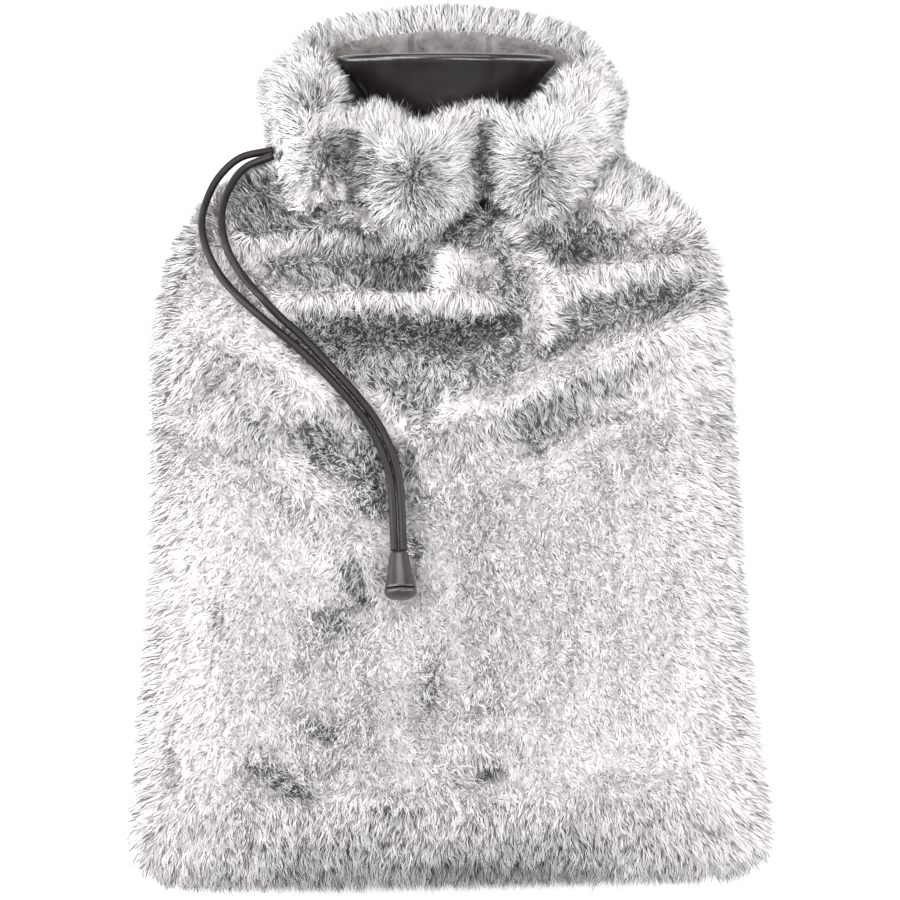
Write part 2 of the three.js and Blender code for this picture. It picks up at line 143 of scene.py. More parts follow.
camera = bpy.data.objects.get("Camera")
if camera is None:
    camera = bpy.data.objects.new("Camera", bpy.data.cameras.new("Camera"))
if camera.name not in bpy.context.scene.collection.all_objects:
    bpy.context.scene.collection.objects.link(camera)
camera.location = (0, VIEW_MIDDLE, CAMERA_HEIGHT)
camera.rotation_euler = (0, 0, 0)
camera.data.sensor_width = SENSOR
camera.data.lens = SENSOR * (CAMERA_HEIGHT - SEAM_HEIGHT) / VIEW_WIDTH
camera.data.clip_end = VIEW_DEPTH
bpy.context.scene.camera = camera
print("camera lens", round(camera.data.lens, 1), "mm")

# %% [markdown]
# ## The drawstring's route
# The drawstring is one braided cord of 3 mm. Its two strands leave the left side of the gathered
# neck one above the other, swing out over the shoulder and lie side by side across the front down
# to the bell. The points are the ones the solids were made from, joined by one smooth curve that
# doesn't overshoot where points are unevenly spaced.

# %% Route of the strands
CORD_THICK = 3 * MM
CORD_STEP = 0.7 * MM
CURVE_STEPS = 24  # points worked out between two of the route's
CORD_OUTER = [  # (x, y, z) in mm
    (-67.8, 114.3, 33), (-80.4, 111.3, 33.5), (-88.7, 103.6, 34.5), (-93.5, 93.1, 39.6),
    (-94.5, 85.4, 46.6), (-92.4, 75.6, 51.4), (-87.4, 66.1, 53.6), (-79.6, 57.2, 58.9),
    (-71.1, 49.6, 61.4), (-64.3, 43.9, 61.2), (-57.6, 38.3, 61.2), (-46.5, 27.7, 62.2),
    (-37.1, 17.3, 62.5), (-29.7, 7.4, 61.6), (-25, -2.9, 61.4), (-22.5, -11.9, 61),
    (-21.7, -21.2, 61), (-21.3, -30.7, 61.6), (-20.9, -38.6, 63.2),
]
CORD_INNER = [
    (-67.6, 111.8, 39.6), (-78.3, 107.4, 37.3), (-84, 99.7, 41.1), (-86.8, 89.1, 48.9),
    (-85.1, 77.5, 54.8), (-79.7, 67.2, 56.4), (-71.1, 57.1, 62.5), (-64.3, 50, 61.6),
    (-56.1, 42.7, 61), (-44.4, 30.5, 62), (-34.7, 19.7, 62.3), (-27, 9.3, 61.5),
    (-21.8, -1.7, 61.7), (-19.3, -11.5, 61.1), (-18.4, -21.2, 61), (-18, -30.7, 61.6),
    (-17.7, -38.6, 63.2),
]


def smooth_path(route, step):
    """Points every `step` along one smooth curve through the route's points, and its length."""
    knots = np.array(route, float) * MM
    padded = np.vstack([2 * knots[0] - knots[1], knots, 2 * knots[-1] - knots[-2]])
    gaps = np.sqrt(np.linalg.norm(np.diff(padded, axis=0), axis=1))
    dense = []
    for i in range(1, len(padded) - 2):
        t0, t1, t2, t3 = np.cumsum([0, gaps[i - 1], gaps[i], gaps[i + 1]])
        p0, p1, p2, p3 = padded[i - 1:i + 3]
        for t in np.linspace(t1, t2, CURVE_STEPS, endpoint=False)[:, None]:
            a1 = (t1 - t) / (t1 - t0) * p0 + (t - t0) / (t1 - t0) * p1
            a2 = (t2 - t) / (t2 - t1) * p1 + (t - t1) / (t2 - t1) * p2
            a3 = (t3 - t) / (t3 - t2) * p2 + (t - t2) / (t3 - t2) * p3
            b1 = (t2 - t) / (t2 - t0) * a1 + (t - t0) / (t2 - t0) * a2
            b2 = (t3 - t) / (t3 - t1) * a2 + (t - t1) / (t3 - t1) * a3
            dense.append((t2 - t) / (t2 - t1) * b1 + (t - t1) / (t2 - t1) * b2)
    dense = np.vstack(dense + [knots[-1:]])
    along = np.concatenate([[0], np.cumsum(np.linalg.norm(np.diff(dense, axis=0), axis=1))])
    marks = np.linspace(0, along[-1], int(round(along[-1] / step)) + 1)
    return np.column_stack([np.interp(marks, along, dense[:, k]) for k in range(3)]), along[-1]


routes = {"outer": smooth_path(CORD_OUTER, CORD_STEP), "inner": smooth_path(CORD_INNER, CORD_STEP)}
for strand, (path, length) in routes.items():
    print("strand", strand, "is", round(length / MM, 1), "mm long")

# %% [markdown]
# ## Meshes from arrays
# The cords and the fur have too many points to model by hand. Their corners are worked out as
# arrays, and this step turns such arrays into a mesh, with a UV map and shading normals if given.

# %% Meshes from arrays
def add_object(name, data):
    piece = bpy.data.objects.new(name, data)
    bpy.context.scene.collection.objects.link(piece)
    return piece


def make_mesh(name, points, faces, uv=None, uv_name="OFBake", normals=None):
    """A mesh object from arrays, whose faces all have the same number of corners."""
    mesh = bpy.data.meshes.new(name)
    faces = np.asarray(faces, np.int32)
    mesh.vertices.add(len(points))
    mesh.vertices.foreach_set("co", np.asarray(points, np.float32).ravel())
    mesh.loops.add(faces.size)
    mesh.loops.foreach_set("vertex_index", faces.ravel())
    mesh.polygons.add(len(faces))
    starts = np.arange(0, faces.size, faces.shape[1], dtype=np.int32)
    mesh.polygons.foreach_set("loop_start", starts)
    mesh.polygons.foreach_set("use_smooth", np.ones(len(faces), bool))
    if uv is not None:
        layer = mesh.uv_layers.new(name=uv_name)
        layer.data.foreach_set("uv", np.asarray(uv, np.float32).ravel())
    mesh.update(calc_edges=True)
    if normals is not None:
        mesh.normals_split_custom_set_from_vertices(np.asarray(normals, np.float32))
    return add_object(name, mesh)


print("arrays become meshes")

# %% [markdown]
# ## The cord itself
# Each strand is a round tube round its route. A ring of points is placed at every step, the rings
# are joined by four-sided faces, and both ends are closed. The tube carries a UV map with the
# length in metres along U and once round along V, which the braid's material follows later.

# %% Cord tubes
CORD_SIDES = 20


def tube(name, path, radius):
    """A round cord along a path, closed at its ends."""
    ways = np.gradient(path, axis=0)
    ways /= np.linalg.norm(ways, axis=1)[:, None]
    across = np.cross(ways, (0, 0, 1.0))
    across /= np.linalg.norm(across, axis=1)[:, None]
    above = np.cross(across, ways)
    angle = np.linspace(0, 2 * np.pi, CORD_SIDES, endpoint=False)
    cosine, sine = np.cos(angle)[None, :, None], np.sin(angle)[None, :, None]
    ring = across[:, None] * cosine + above[:, None] * sine
    points = (path[:, None] + radius * ring).reshape(-1, 3)
    rings = np.arange(len(path) - 1)[:, None]
    sides = np.arange(CORD_SIDES)[None, :]
    after = (sides + 1) % CORD_SIDES
    here, there = rings * CORD_SIDES, (rings + 1) * CORD_SIDES
    faces = np.stack([here + sides, here + after, there + after, there + sides], axis=-1)
    faces = faces.reshape(-1, 4)
    along = rings * CORD_STEP + 0 * sides
    turn = sides / CORD_SIDES + 0 * rings
    corners = [(0, 0), (0, 1), (1, 1), (1, 0)]
    uv = np.stack([
        np.stack([along + u * CORD_STEP, turn + v / CORD_SIDES], axis=-1) for u, v in corners
    ], axis=2)
    piece = make_mesh(name, points, faces, uv, "Lay")
    select_only(piece)
    bpy.ops.object.mode_set(mode="EDIT")
    bpy.ops.mesh.select_all(action="SELECT")
    bpy.ops.mesh.fill_holes(sides=0)
    bpy.ops.mesh.select_all(action="SELECT")
    bpy.ops.mesh.normals_make_consistent(inside=False)
    bpy.ops.object.mode_set(mode="OBJECT")
    return piece


cords = {}
for strand, (path, length) in routes.items():
    cords[strand] = tube(f"drawstring_{strand}", path, CORD_THICK / 2)
    print(cords[strand].name, "has", len(cords[strand].data.polygons), "faces")

# %% [markdown]
# ## The bell on the cord's end
# Both strands end in a small moulded bell: a slim cone with a rounded cap pressed into its foot.
# Each is a turned shape, so its half section is drawn once, standing on its tip, and spun round the
# middle line. Doubles on that line are merged before the normals are made to point outwards.

# %% Bell and cap
BELL_PLACE = (-19.3, -39.1, 63.4)  # of its tip, in mm
BELL_TIP = -0.19  # how far its foot leans down, in radians
BELL_TURN = 0.045  # how far its foot swings aside, in radians
BELL_STEPS = 64
BELL_EDGE = math.radians(50)  # a sharper edge than this isn't smoothed
BELL_SECTION = [  # radius and way down from the tip, in mm
    (0, 0.5), (1.7, 0.5), (2.2, 0.15), (2.8, 0), (3.2, 0.12), (3.5, 0.45), (3.62, 0.9),
    (3.72, 1.5), (4.0, 3.2), (4.35, 5.4), (4.8, 8), (5.3, 10.5), (5.75, 12.4), (5.98, 13.3),
    (5.9, 13.65), (5.6, 13.8), (0, 13.8),
]
CAP_SECTION = [
    (0, 14.1), (5.3, 14.1), (5.75, 14.2), (6.05, 14.5), (6.18, 14.95), (6.12, 15.5), (5.9, 16.1),
    (5.45, 16.75), (4.7, 17.35), (3.6, 17.8), (2.2, 18.05), (0, 18.1),
]
bell_lay = Matrix.Translation(Vector(BELL_PLACE) * MM)
bell_lay @= Matrix.Rotation(BELL_TIP, 4, "X") @ Matrix.Rotation(BELL_TURN, 4, "Z")
bell_lay @= Matrix.Rotation(-math.pi / 2, 4, "X")


def spun(name, section):
    """A half section turned round the bell's middle line, then laid in its place."""
    points = [(radius * MM, 0, -down * MM) for radius, down in section]
    mesh = bpy.data.meshes.new(name)
    mesh.from_pydata(points, [(i, i + 1) for i in range(len(points) - 1)], [])
    piece = add_object(name, mesh)
    select_only(piece)
    bpy.ops.object.mode_set(mode="EDIT")
    bpy.ops.mesh.select_all(action="SELECT")
    bpy.ops.mesh.spin(steps=BELL_STEPS, angle=2 * math.pi, center=(0, 0, 0), axis=(0, 0, 1))
    bpy.ops.mesh.select_all(action="SELECT")
    bpy.ops.mesh.remove_doubles(threshold=1e-6)
    bpy.ops.mesh.normals_make_consistent(inside=False)
    bpy.ops.object.mode_set(mode="OBJECT")
    bpy.ops.object.shade_smooth_by_angle(angle=BELL_EDGE)
    piece.data.transform(bell_lay)
    return piece


bell = spun("bell", BELL_SECTION)
bell_cap = spun("bell_cap", CAP_SECTION)
for piece in (bell, bell_cap):
    box = np.array([v.co for v in piece.data.vertices]) / MM
    print(piece.name, "from", box.min(0).round(1), "to", box.max(0).round(1), "mm")

# %% [markdown]
# ## Smooth copies of the solids
# The frame's solids are coarse. A copy is merged, its triangles are paired into quads, and a
# subdivision surface rounds it. The rubber bottle and the velour lining are ready after that, and
# the three furred solids go on to become cloth.

# %% Rounding a copy
FLAT_PAIR = math.radians(50)  # two triangles that bend less than this make a quad
SQUARE_PAIR = math.radians(70)  # and whose corners are off square by less than this


def rounded_copy(node, name, levels):
    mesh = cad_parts[node].data.copy()
    mesh.materials.clear()
    piece = add_object(name, mesh)
    select_only(piece)
    bpy.ops.mesh.customdata_custom_splitnormals_clear()
    bpy.ops.object.mode_set(mode="EDIT")
    bpy.ops.mesh.select_all(action="SELECT")
    bpy.ops.mesh.remove_doubles(threshold=1e-5)
    bpy.ops.mesh.tris_convert_to_quads(face_threshold=FLAT_PAIR, shape_threshold=SQUARE_PAIR)
    bpy.ops.object.mode_set(mode="OBJECT")
    rounding = piece.modifiers.new("Rounding", "SUBSURF")
    rounding.levels = levels
    rounding.render_levels = levels
    bpy.ops.object.modifier_apply(modifier=rounding.name)
    bpy.ops.object.shade_smooth()
    print(name, "has", len(piece.data.polygons), "faces")
    return piece


bottle = rounded_copy("bottle", "rubber_bottle", 2)
lining = rounded_copy("heading_lining", "velour_lining", 1)
front_cloth = rounded_copy("front_panel", "front_cloth", 2)
back_cloth = rounded_copy("back_panel", "back_cloth", 1)
heading_cloth = rounded_copy("heading", "heading_cloth", 2)

# %% [markdown]
# ## Folds of the front
# The drawstring gathers the front into soft rolls that run from the neck out to the sides. The
# solid has their broad shape. Here each crest gets a tighter roll, and each hollow a tighter
# crease, as a soft ridge or trough beside a line drawn in the cover's own millimetres.

# %% Fold lines
FOLDS = [  # added height and half-width in mm, and the line as (x, y) in mm
    (1.2, 5.0, [(-72, 55), (-54, 59.5), (-38, 61), (-4, 60), (14, 59)]),
    (-2.0, 5.0, [(-33, 72), (-18, 69), (-8, 68)]),
    (1.0, 5.0, [(-1, 78), (0, 64)]),
    (0.8, 5.0, [(-104, 77), (-81, 79), (-61, 83), (-46, 85), (-30, 80)]),
    (-1.5, 7.0, [(-86, 96), (-70, 97), (-58, 93)]),
    (-1.0, 6.0, [(-92, 68), (-70, 72), (-44, 73)]),
    (0.8, 5.0, [(15, 84), (29, 75), (37, 61), (37, 44)]),
    (-2.0, 4.5, [(32, 82), (38, 76), (48, 74)]),
    (0.8, 5.0, [(43, 69), (65, 71), (88, 75), (101, 77)]),
    (0.8, 5.0, [(56, 94), (74, 92), (92, 85)]),
    (-1.0, 6.0, [(50, 84), (66, 82), (84, 83)]),
    (0.8, 5.0, [(-14, 8), (8, 13), (27, 20), (46, 29), (65, 39), (81, 46), (98, 54)]),
    (-1.0, 8.0, [(46, 46), (66, 54), (92, 64)]),
    (-0.8, 10.0, [(24, 1), (50, 11), (74, 21)]),
    (-1.2, 8.0, [(-20, 26), (-14, 17)]),
    (0.6, 9.0, [(-108, 46), (-76, 34), (-42, 19)]),
    (0.6, 10.0, [(-98, 34), (-70, 2), (-34, -40)]),
    (-0.6, 9.0, [(-100, 18), (-78, -8), (-56, -38)]),
    (-0.8, 7.0, [(-62, -122), (-48, -128)]),
    (-0.8, 6.0, [(10, -124), (22, -124)]),
    (-0.8, 7.0, [(58, -114), (74, -112)]),
    (-0.8, 5.0, [(-112, -150), (-40, -147), (30, -150), (112, -146)]),
]


def line_reach(at, line):
    """How far each (x, y) lies from a line of straight stretches, and if it is on its left."""
    nearest = np.full(len(at), np.inf)
    left = np.zeros(len(at), bool)
    for (ax, ay), (bx, by) in zip(line, line[1:]):
        way = np.array([bx - ax, by - ay], float)
        from_a = at - (ax, ay)
        step = np.clip(from_a @ way / (way @ way), 0, 1)
        reach = np.hypot(*(from_a - step[:, None] * way).T)
        aside = way[0] * from_a[:, 1] - way[1] * from_a[:, 0]
        left = np.where(reach < nearest, aside > 0, left)
        nearest = np.minimum(nearest, reach)
    return nearest, left


def fold_height(points):
    at = points[:, :2] / MM
    total = np.zeros(len(at))
    for height, half, line in FOLDS:
        total += height * np.exp(-((line_reach(at, line)[0] / half) ** 2))
    return total * MM


print(len(FOLDS), "folds on the front")

# %% [markdown]
# ## Reading a piece
# The next steps work on all points of a piece at once. One function reads its points, normals and
# triangles as arrays. Another makes a tree of its triangles, which finds quickly where a ray from
# any place meets the piece.

# %% Reading a piece
def arrays_of(piece):
    mesh = piece.data
    mesh.calc_loop_triangles()
    points = np.empty(len(mesh.vertices) * 3)
    mesh.vertices.foreach_get("co", points)
    normals = np.empty(len(mesh.vertices) * 3)
    mesh.vertex_normals.foreach_get("vector", normals)
    corners = np.empty(len(mesh.loop_triangles) * 3, np.int32)
    mesh.loop_triangles.foreach_get("vertices", corners)
    return points.reshape(-1, 3), normals.reshape(-1, 3), corners.reshape(-1, 3)


def tree_of(*pieces):
    points, corners, start = [], [], 0
    for piece in pieces:
        p, _, c = arrays_of(piece)
        points += p.tolist()
        corners += (c + start).tolist()
        start += len(p)
    return BVHTree.FromPolygons(points, corners)


print("arrays and trees ready")

# %% [markdown]
# ## Cloth under the pile
# A solid reaches to where the pile is dense. The knitted backing that the fibres grow from lies
# several millimetres lower, so each solid's furred side is pulled in along its normals. What is
# left is a cloth about 3 mm thick. The furred side's own place is kept, because the pile ends
# there.

# %% Pulling the cloth in
PILE_DEPTH = 6 * MM
BAG_SHARE, HEADING_SHARE = 0.66, 0.34  # the most that the pile takes of a solid's thickness
RAY_START = 0.2 * MM
FLOOR_CLEAR = 0.3 * MM
CORE_HEIGHT = 22 * MM
CORE_FROM, CORE_TO = -120 * MM, 80 * MM  # the bag's middle line, along Y


def faces_out(points, normals):
    """Which points lie on the bag's outside, as their normals lead away from its middle line."""
    core = np.zeros_like(points)
    core[:, 1] = np.clip(points[:, 1], CORE_FROM, CORE_TO)
    core[:, 2] = CORE_HEIGHT
    return np.einsum("ij,ij->i", points - core, normals) > 0


def all_round(points, normals):
    return np.ones(len(points), bool)


def pull_in(piece, furred, share):
    """Pulls the furred side in, and returns it as it was with how deep the cloth now lies."""
    points, normals, corners = arrays_of(piece)
    tree = tree_of(piece)
    depth = np.zeros(len(points))
    for i in np.flatnonzero(furred(points, normals)):
        start = Vector(points[i] - normals[i] * RAY_START)
        _, _, _, way = tree.ray_cast(start, Vector(-normals[i]))
        depth[i] = min(PILE_DEPTH, share * (way or 1))
    moved = points - normals * depth[:, None]
    moved[:, 2] = np.maximum(moved[:, 2], FLOOR_CLEAR)
    piece.data.vertices.foreach_set("co", moved.ravel())
    piece.data.update()
    print(piece.name, "lies", round(depth.max() / MM, 1), "mm deep at most")
    return {"points": points, "normals": normals, "corners": corners, "depth": depth}


points, normals, _ = arrays_of(front_cloth)
raised = np.where(faces_out(points, normals), fold_height(points), 0)
points[:, 2] += raised * np.clip(normals[:, 2], 0, 1)
front_cloth.data.vertices.foreach_set("co", points.ravel())
front_cloth.data.update()

front_side = pull_in(front_cloth, faces_out, BAG_SHARE)
back_side = pull_in(back_cloth, faces_out, BAG_SHARE)
heading_side = pull_in(heading_cloth, all_round, HEADING_SHARE)

# %% [markdown]
# ## Thinner meshes for hidden cloth
# The fur hides the cloth nearly everywhere, so after its side is kept for the sowing, a quarter of
# its faces is enough. The faces saved here are worth more as fibres.

# %% Thinning the cloth
KEPT_SHARE = 0.25

for piece in (front_cloth, heading_cloth):
    select_only(piece)
    thinning = piece.modifiers.new("Thinning", "DECIMATE")
    thinning.ratio = KEPT_SHARE
    bpy.ops.object.modifier_apply(modifier=thinning.name)
    print(piece.name, "keeps", len(piece.data.polygons), "faces")

# %% [markdown]
# ## Sowing locks
# Faux fur is a knit with locks of fine fibres. A lock's place is drawn evenly over the furred faces
# by their area. Soft random fields, made of a few sine waves, let neighbouring locks lean and
# colour alike, as a hand that has stroked the fur leaves them.

# %% Sowing locks
def waves(at, size, seed, count=9):
    """A soft random field from -1 to 1, whose patches are about `size` metres across."""
    draw = np.random.default_rng(seed)
    total = np.zeros(len(at))
    for _ in range(count):
        way = draw.normal(size=3)
        way *= 2 * np.pi / (np.linalg.norm(way) * size * draw.uniform(1.4, 3.2))
        total += np.sin(at @ way + draw.uniform(0, 2 * np.pi))
    return np.clip(total / math.sqrt(count), -1, 1)


def smooth(values, low, high):
    share = np.clip((values - low) / (high - low), 0, 1)
    return share * share * (3 - 2 * share)


def unit(vectors):
    return vectors / np.maximum(np.linalg.norm(vectors, axis=1)[:, None], 1e-12)


def sow(side, kept, spacing, seed):
    """Places for locks over the kept faces, their normals and how deep the cloth lies there."""
    draw = np.random.default_rng(seed)
    a, b, c = (side["points"][side["corners"][:, k]] for k in range(3))
    cross = np.cross(b - a, c - a)
    area = 0.5 * np.linalg.norm(cross, axis=1) * kept((a + b + c) / 3, unit(cross))
    edges = np.cumsum(area)
    count = int(edges[-1] / spacing ** 2)
    which = np.searchsorted(edges, (np.arange(count) + draw.random(count)) / count * edges[-1])
    which = np.minimum(which, len(area) - 1)
    s = np.sqrt(draw.random(count))
    t = draw.random(count)
    weights = np.column_stack([1 - s, s * (1 - t), s * t])
    corner = side["corners"][which]
    points = np.einsum("ik,ikj->ij", weights, side["points"][corner])
    normals = unit(np.einsum("ik,ikj->ij", weights, side["normals"][corner]))
    depth = np.einsum("ik,ik->i", weights, side["depth"][corner])
    print(round(edges[-1] * 1e4), "cm2 of fur with", count, "locks")
    return points, normals, depth


def free_way(starts, ways, lengths, tree):
    """The share of its length that each lock can grow before it meets a neighbour."""
    share = np.ones(len(starts))
    for i in range(len(starts)):
        _, _, _, reach = tree.ray_cast(Vector(starts[i]), Vector(ways[i]), lengths[i] * 1.1)
        if reach is not None:
            share[i] = 0.85 * reach / lengths[i]
    return share


print("sowing ready")

# %% [markdown]
# ## Tone on a blade
# A blade's UV map holds how pale its fibre is across, painted shade and light included, and root
# to tip upwards. The material is painted from that alone, so no drawn map is needed. Neighbours
# differ a little at random.

# %% Tone on a blade
TONE_STRAY, TONE_HALF = 0.06, 0.012  # random tone from blade to blade, and across one
ROOT_AT, BEND_AT, TIP_AT = 0.02, 0.5, 0.98  # how far up the map each end and the bend lie


def blade_uv(tone, draw):
    """Tone across and root to tip upwards, for the two triangles of each blade."""
    tone = np.clip(tone + draw.normal(0, TONE_STRAY, len(tone)), 0.03, 0.97)
    left, right = tone - TONE_HALF, tone + TONE_HALF
    lower = [(tone, ROOT_AT), (right, BEND_AT), (left, BEND_AT)]
    upper = [(left, BEND_AT), (right, BEND_AT), (tone, TIP_AT)]
    places = [np.stack([u, np.full(len(tone), v)], axis=1) for u, v in lower + upper]
    return np.stack(places, axis=1)


print("tones differ by", TONE_STRAY)

# %% [markdown]
# ## Growing blades
# Each lock is a handful of slim blades that leave the cloth a little apart and draw together at
# their tips, which is what makes fur look flecked. A blade is two long triangles that bend where
# they meet, so hundreds of thousands of them stay light. Real fibres are 0.05 mm thick. The blades
# are several times as wide, so that a tenth as many cover the cloth. A flat blade would catch the
# light on its own as a chip of tin does, so each is shaded with nearly the normal of the cloth
# under it, turned a little upwards, and the fur looks like one soft coat.

# %% Growing blades
BLADE_WIDE = 0.24 * MM
LOCK_SPREAD = 0.8 * MM  # how far from a lock's middle its blades are rooted
GATHER = 0.35  # how much of that way they draw together
AT_BEND, AT_TIP = 0.35, 0.65  # and the shares of it by the bend and after it
RUFFLE = 0.16  # how far each half of a blade strays from its lock's way
LOWER_LEAN, UPPER_LEAN = 0.6, 1.3  # each half's share of the lock's lean
LEAST_WAY = 0.3  # a lock with less free way than this share of its length isn't grown
TWIST = 0.55  # how far a blade's flat side is turned at random
SKYWARD, SHADE_STRAY = 1.3, 0.25  # the shading normal's turn upwards, and its random part


def grow(name, locks, look, strands, seed, spread=LOCK_SPREAD, wide=BLADE_WIDE,
         blocked=None, pressed=None):
    """One mesh of blades. A look is the lay, the tone, and how far above the cloth a lock ends."""
    draw = np.random.default_rng(seed)
    roots, normals = locks
    lay, tone, rise = look
    lean = np.clip(np.linalg.norm(lay, axis=1), 0.02, 1.1)
    comb = unit(lay - normals * np.einsum("ij,ij->i", lay, normals)[:, None])
    bent = [share * lean for share in (LOWER_LEAN, UPPER_LEAN)]
    lower, upper = (normals * np.cos(a)[:, None] + comb * np.sin(a)[:, None] for a in bent)
    length = 2 * rise / (np.cos(bent[0]) + np.maximum(np.cos(bent[1]), 0.15))
    beside = np.cross(normals, comb)
    if blocked is not None:
        share = free_way(roots + normals * 0.3 * MM, unit(lower + upper), length, blocked)
        keep = share > LEAST_WAY
        roots, normals, comb, beside, lower, upper, length, tone = (
            values[keep] for values in (roots, normals, comb, beside, lower, upper, length, tone)
        )
        length = length * np.minimum(share[keep], 1)
    roots, normals, comb, beside, lower, upper, length, tone = (
        np.repeat(values, strands, axis=0)
        for values in (roots, normals, comb, beside, lower, upper, length, tone)
    )
    total = len(roots)
    angle = draw.uniform(0, 2 * np.pi, total)
    reach = spread * np.sqrt(draw.random(total))
    offset = comb * (reach * np.cos(angle))[:, None]
    offset = offset + beside * (reach * np.sin(angle))[:, None]
    length = length * draw.uniform(0.9, 1.06, total)
    lower = unit(lower + draw.normal(0, RUFFLE, (total, 3)))
    upper = unit(upper + draw.normal(0, RUFFLE, (total, 3)))
    start = roots + offset
    middle = start + lower * (0.5 * length)[:, None] - offset * AT_BEND * GATHER
    tip = middle + upper * (0.5 * length)[:, None] - offset * AT_TIP * GATHER
    if pressed is not None:
        middle, tip = pressed(middle), pressed(tip)
    faced = normals + draw.normal(0, TWIST, (total, 3))
    side = unit(np.cross(tip - start, faced)) * (wide / 2)
    points = np.stack([start, middle - side, middle + side, tip], axis=1)
    points[:, :, 2] = np.maximum(points[:, :, 2], FLOOR_CLEAR)
    base = np.arange(total)[:, None] * 4
    faces = np.stack([base + [0, 2, 1], base + [1, 2, 3]], axis=1).reshape(-1, 3)
    shading = unit(normals + [0, 0, SKYWARD] + draw.normal(0, SHADE_STRAY, (total, 3)))
    piece = make_mesh(name, points.reshape(-1, 3), faces, blade_uv(tone, draw),
                      normals=np.repeat(shading, 4, axis=0))
    print(name, "has", total, "blades and", len(faces), "triangles")
    return piece


print("blades are", BLADE_WIDE / MM, "mm wide")

# %% [markdown]
# ## Fur under the cord
# The cord and the bell lie on the fur and press it down. Any point of a blade that comes too high
# near their middle lines is lowered into a rounded trough, so that the cord nestles in the pile and
# no blade grows through it.

# %% Pressing the pile down
CORD_TROUGH = 3.6 * MM
BELL_TROUGH = 9 * MM
BELL_RADIUS = 6 * MM
TROUGH_RISE = 2.2  # how many radii a trough's edge lies above its bottom
AT_A_TIME = 4000  # points measured together, which keeps the memory small
bell_line = np.array([bell_lay @ Vector((0, 0, -down * MM)) for down in range(19)])
PRESSERS = [(path[::2], CORD_THICK / 2, CORD_TROUGH) for path, _ in routes.values()]
PRESSERS.append((bell_line, BELL_RADIUS, BELL_TROUGH))


def under_cords(points):
    """The points, lowered where the cord or the bell presses them."""
    for axis, radius, trough in PRESSERS:
        low, high = axis.min(0) - trough, axis.max(0) + trough
        inside = (points[:, :2] > low[:2]) & (points[:, :2] < high[:2])
        near = np.flatnonzero(np.all(inside, axis=1))
        for part in np.array_split(near, max(1, len(near) // AT_A_TIME)):
            if len(part) == 0:
                continue
            apart = np.linalg.norm(points[part, None, :2] - axis[None, :, :2], axis=2)
            closest = apart.argmin(1)
            reach = apart[np.arange(len(part)), closest]
            ceiling = axis[closest, 2] - radius + TROUGH_RISE * radius * (reach / trough) ** 2
            hit = (reach < trough) & (points[part, 2] > ceiling)
            points[part[hit], 2] = ceiling[hit]
    return points


print("pressed under", len(PRESSERS), "pieces")
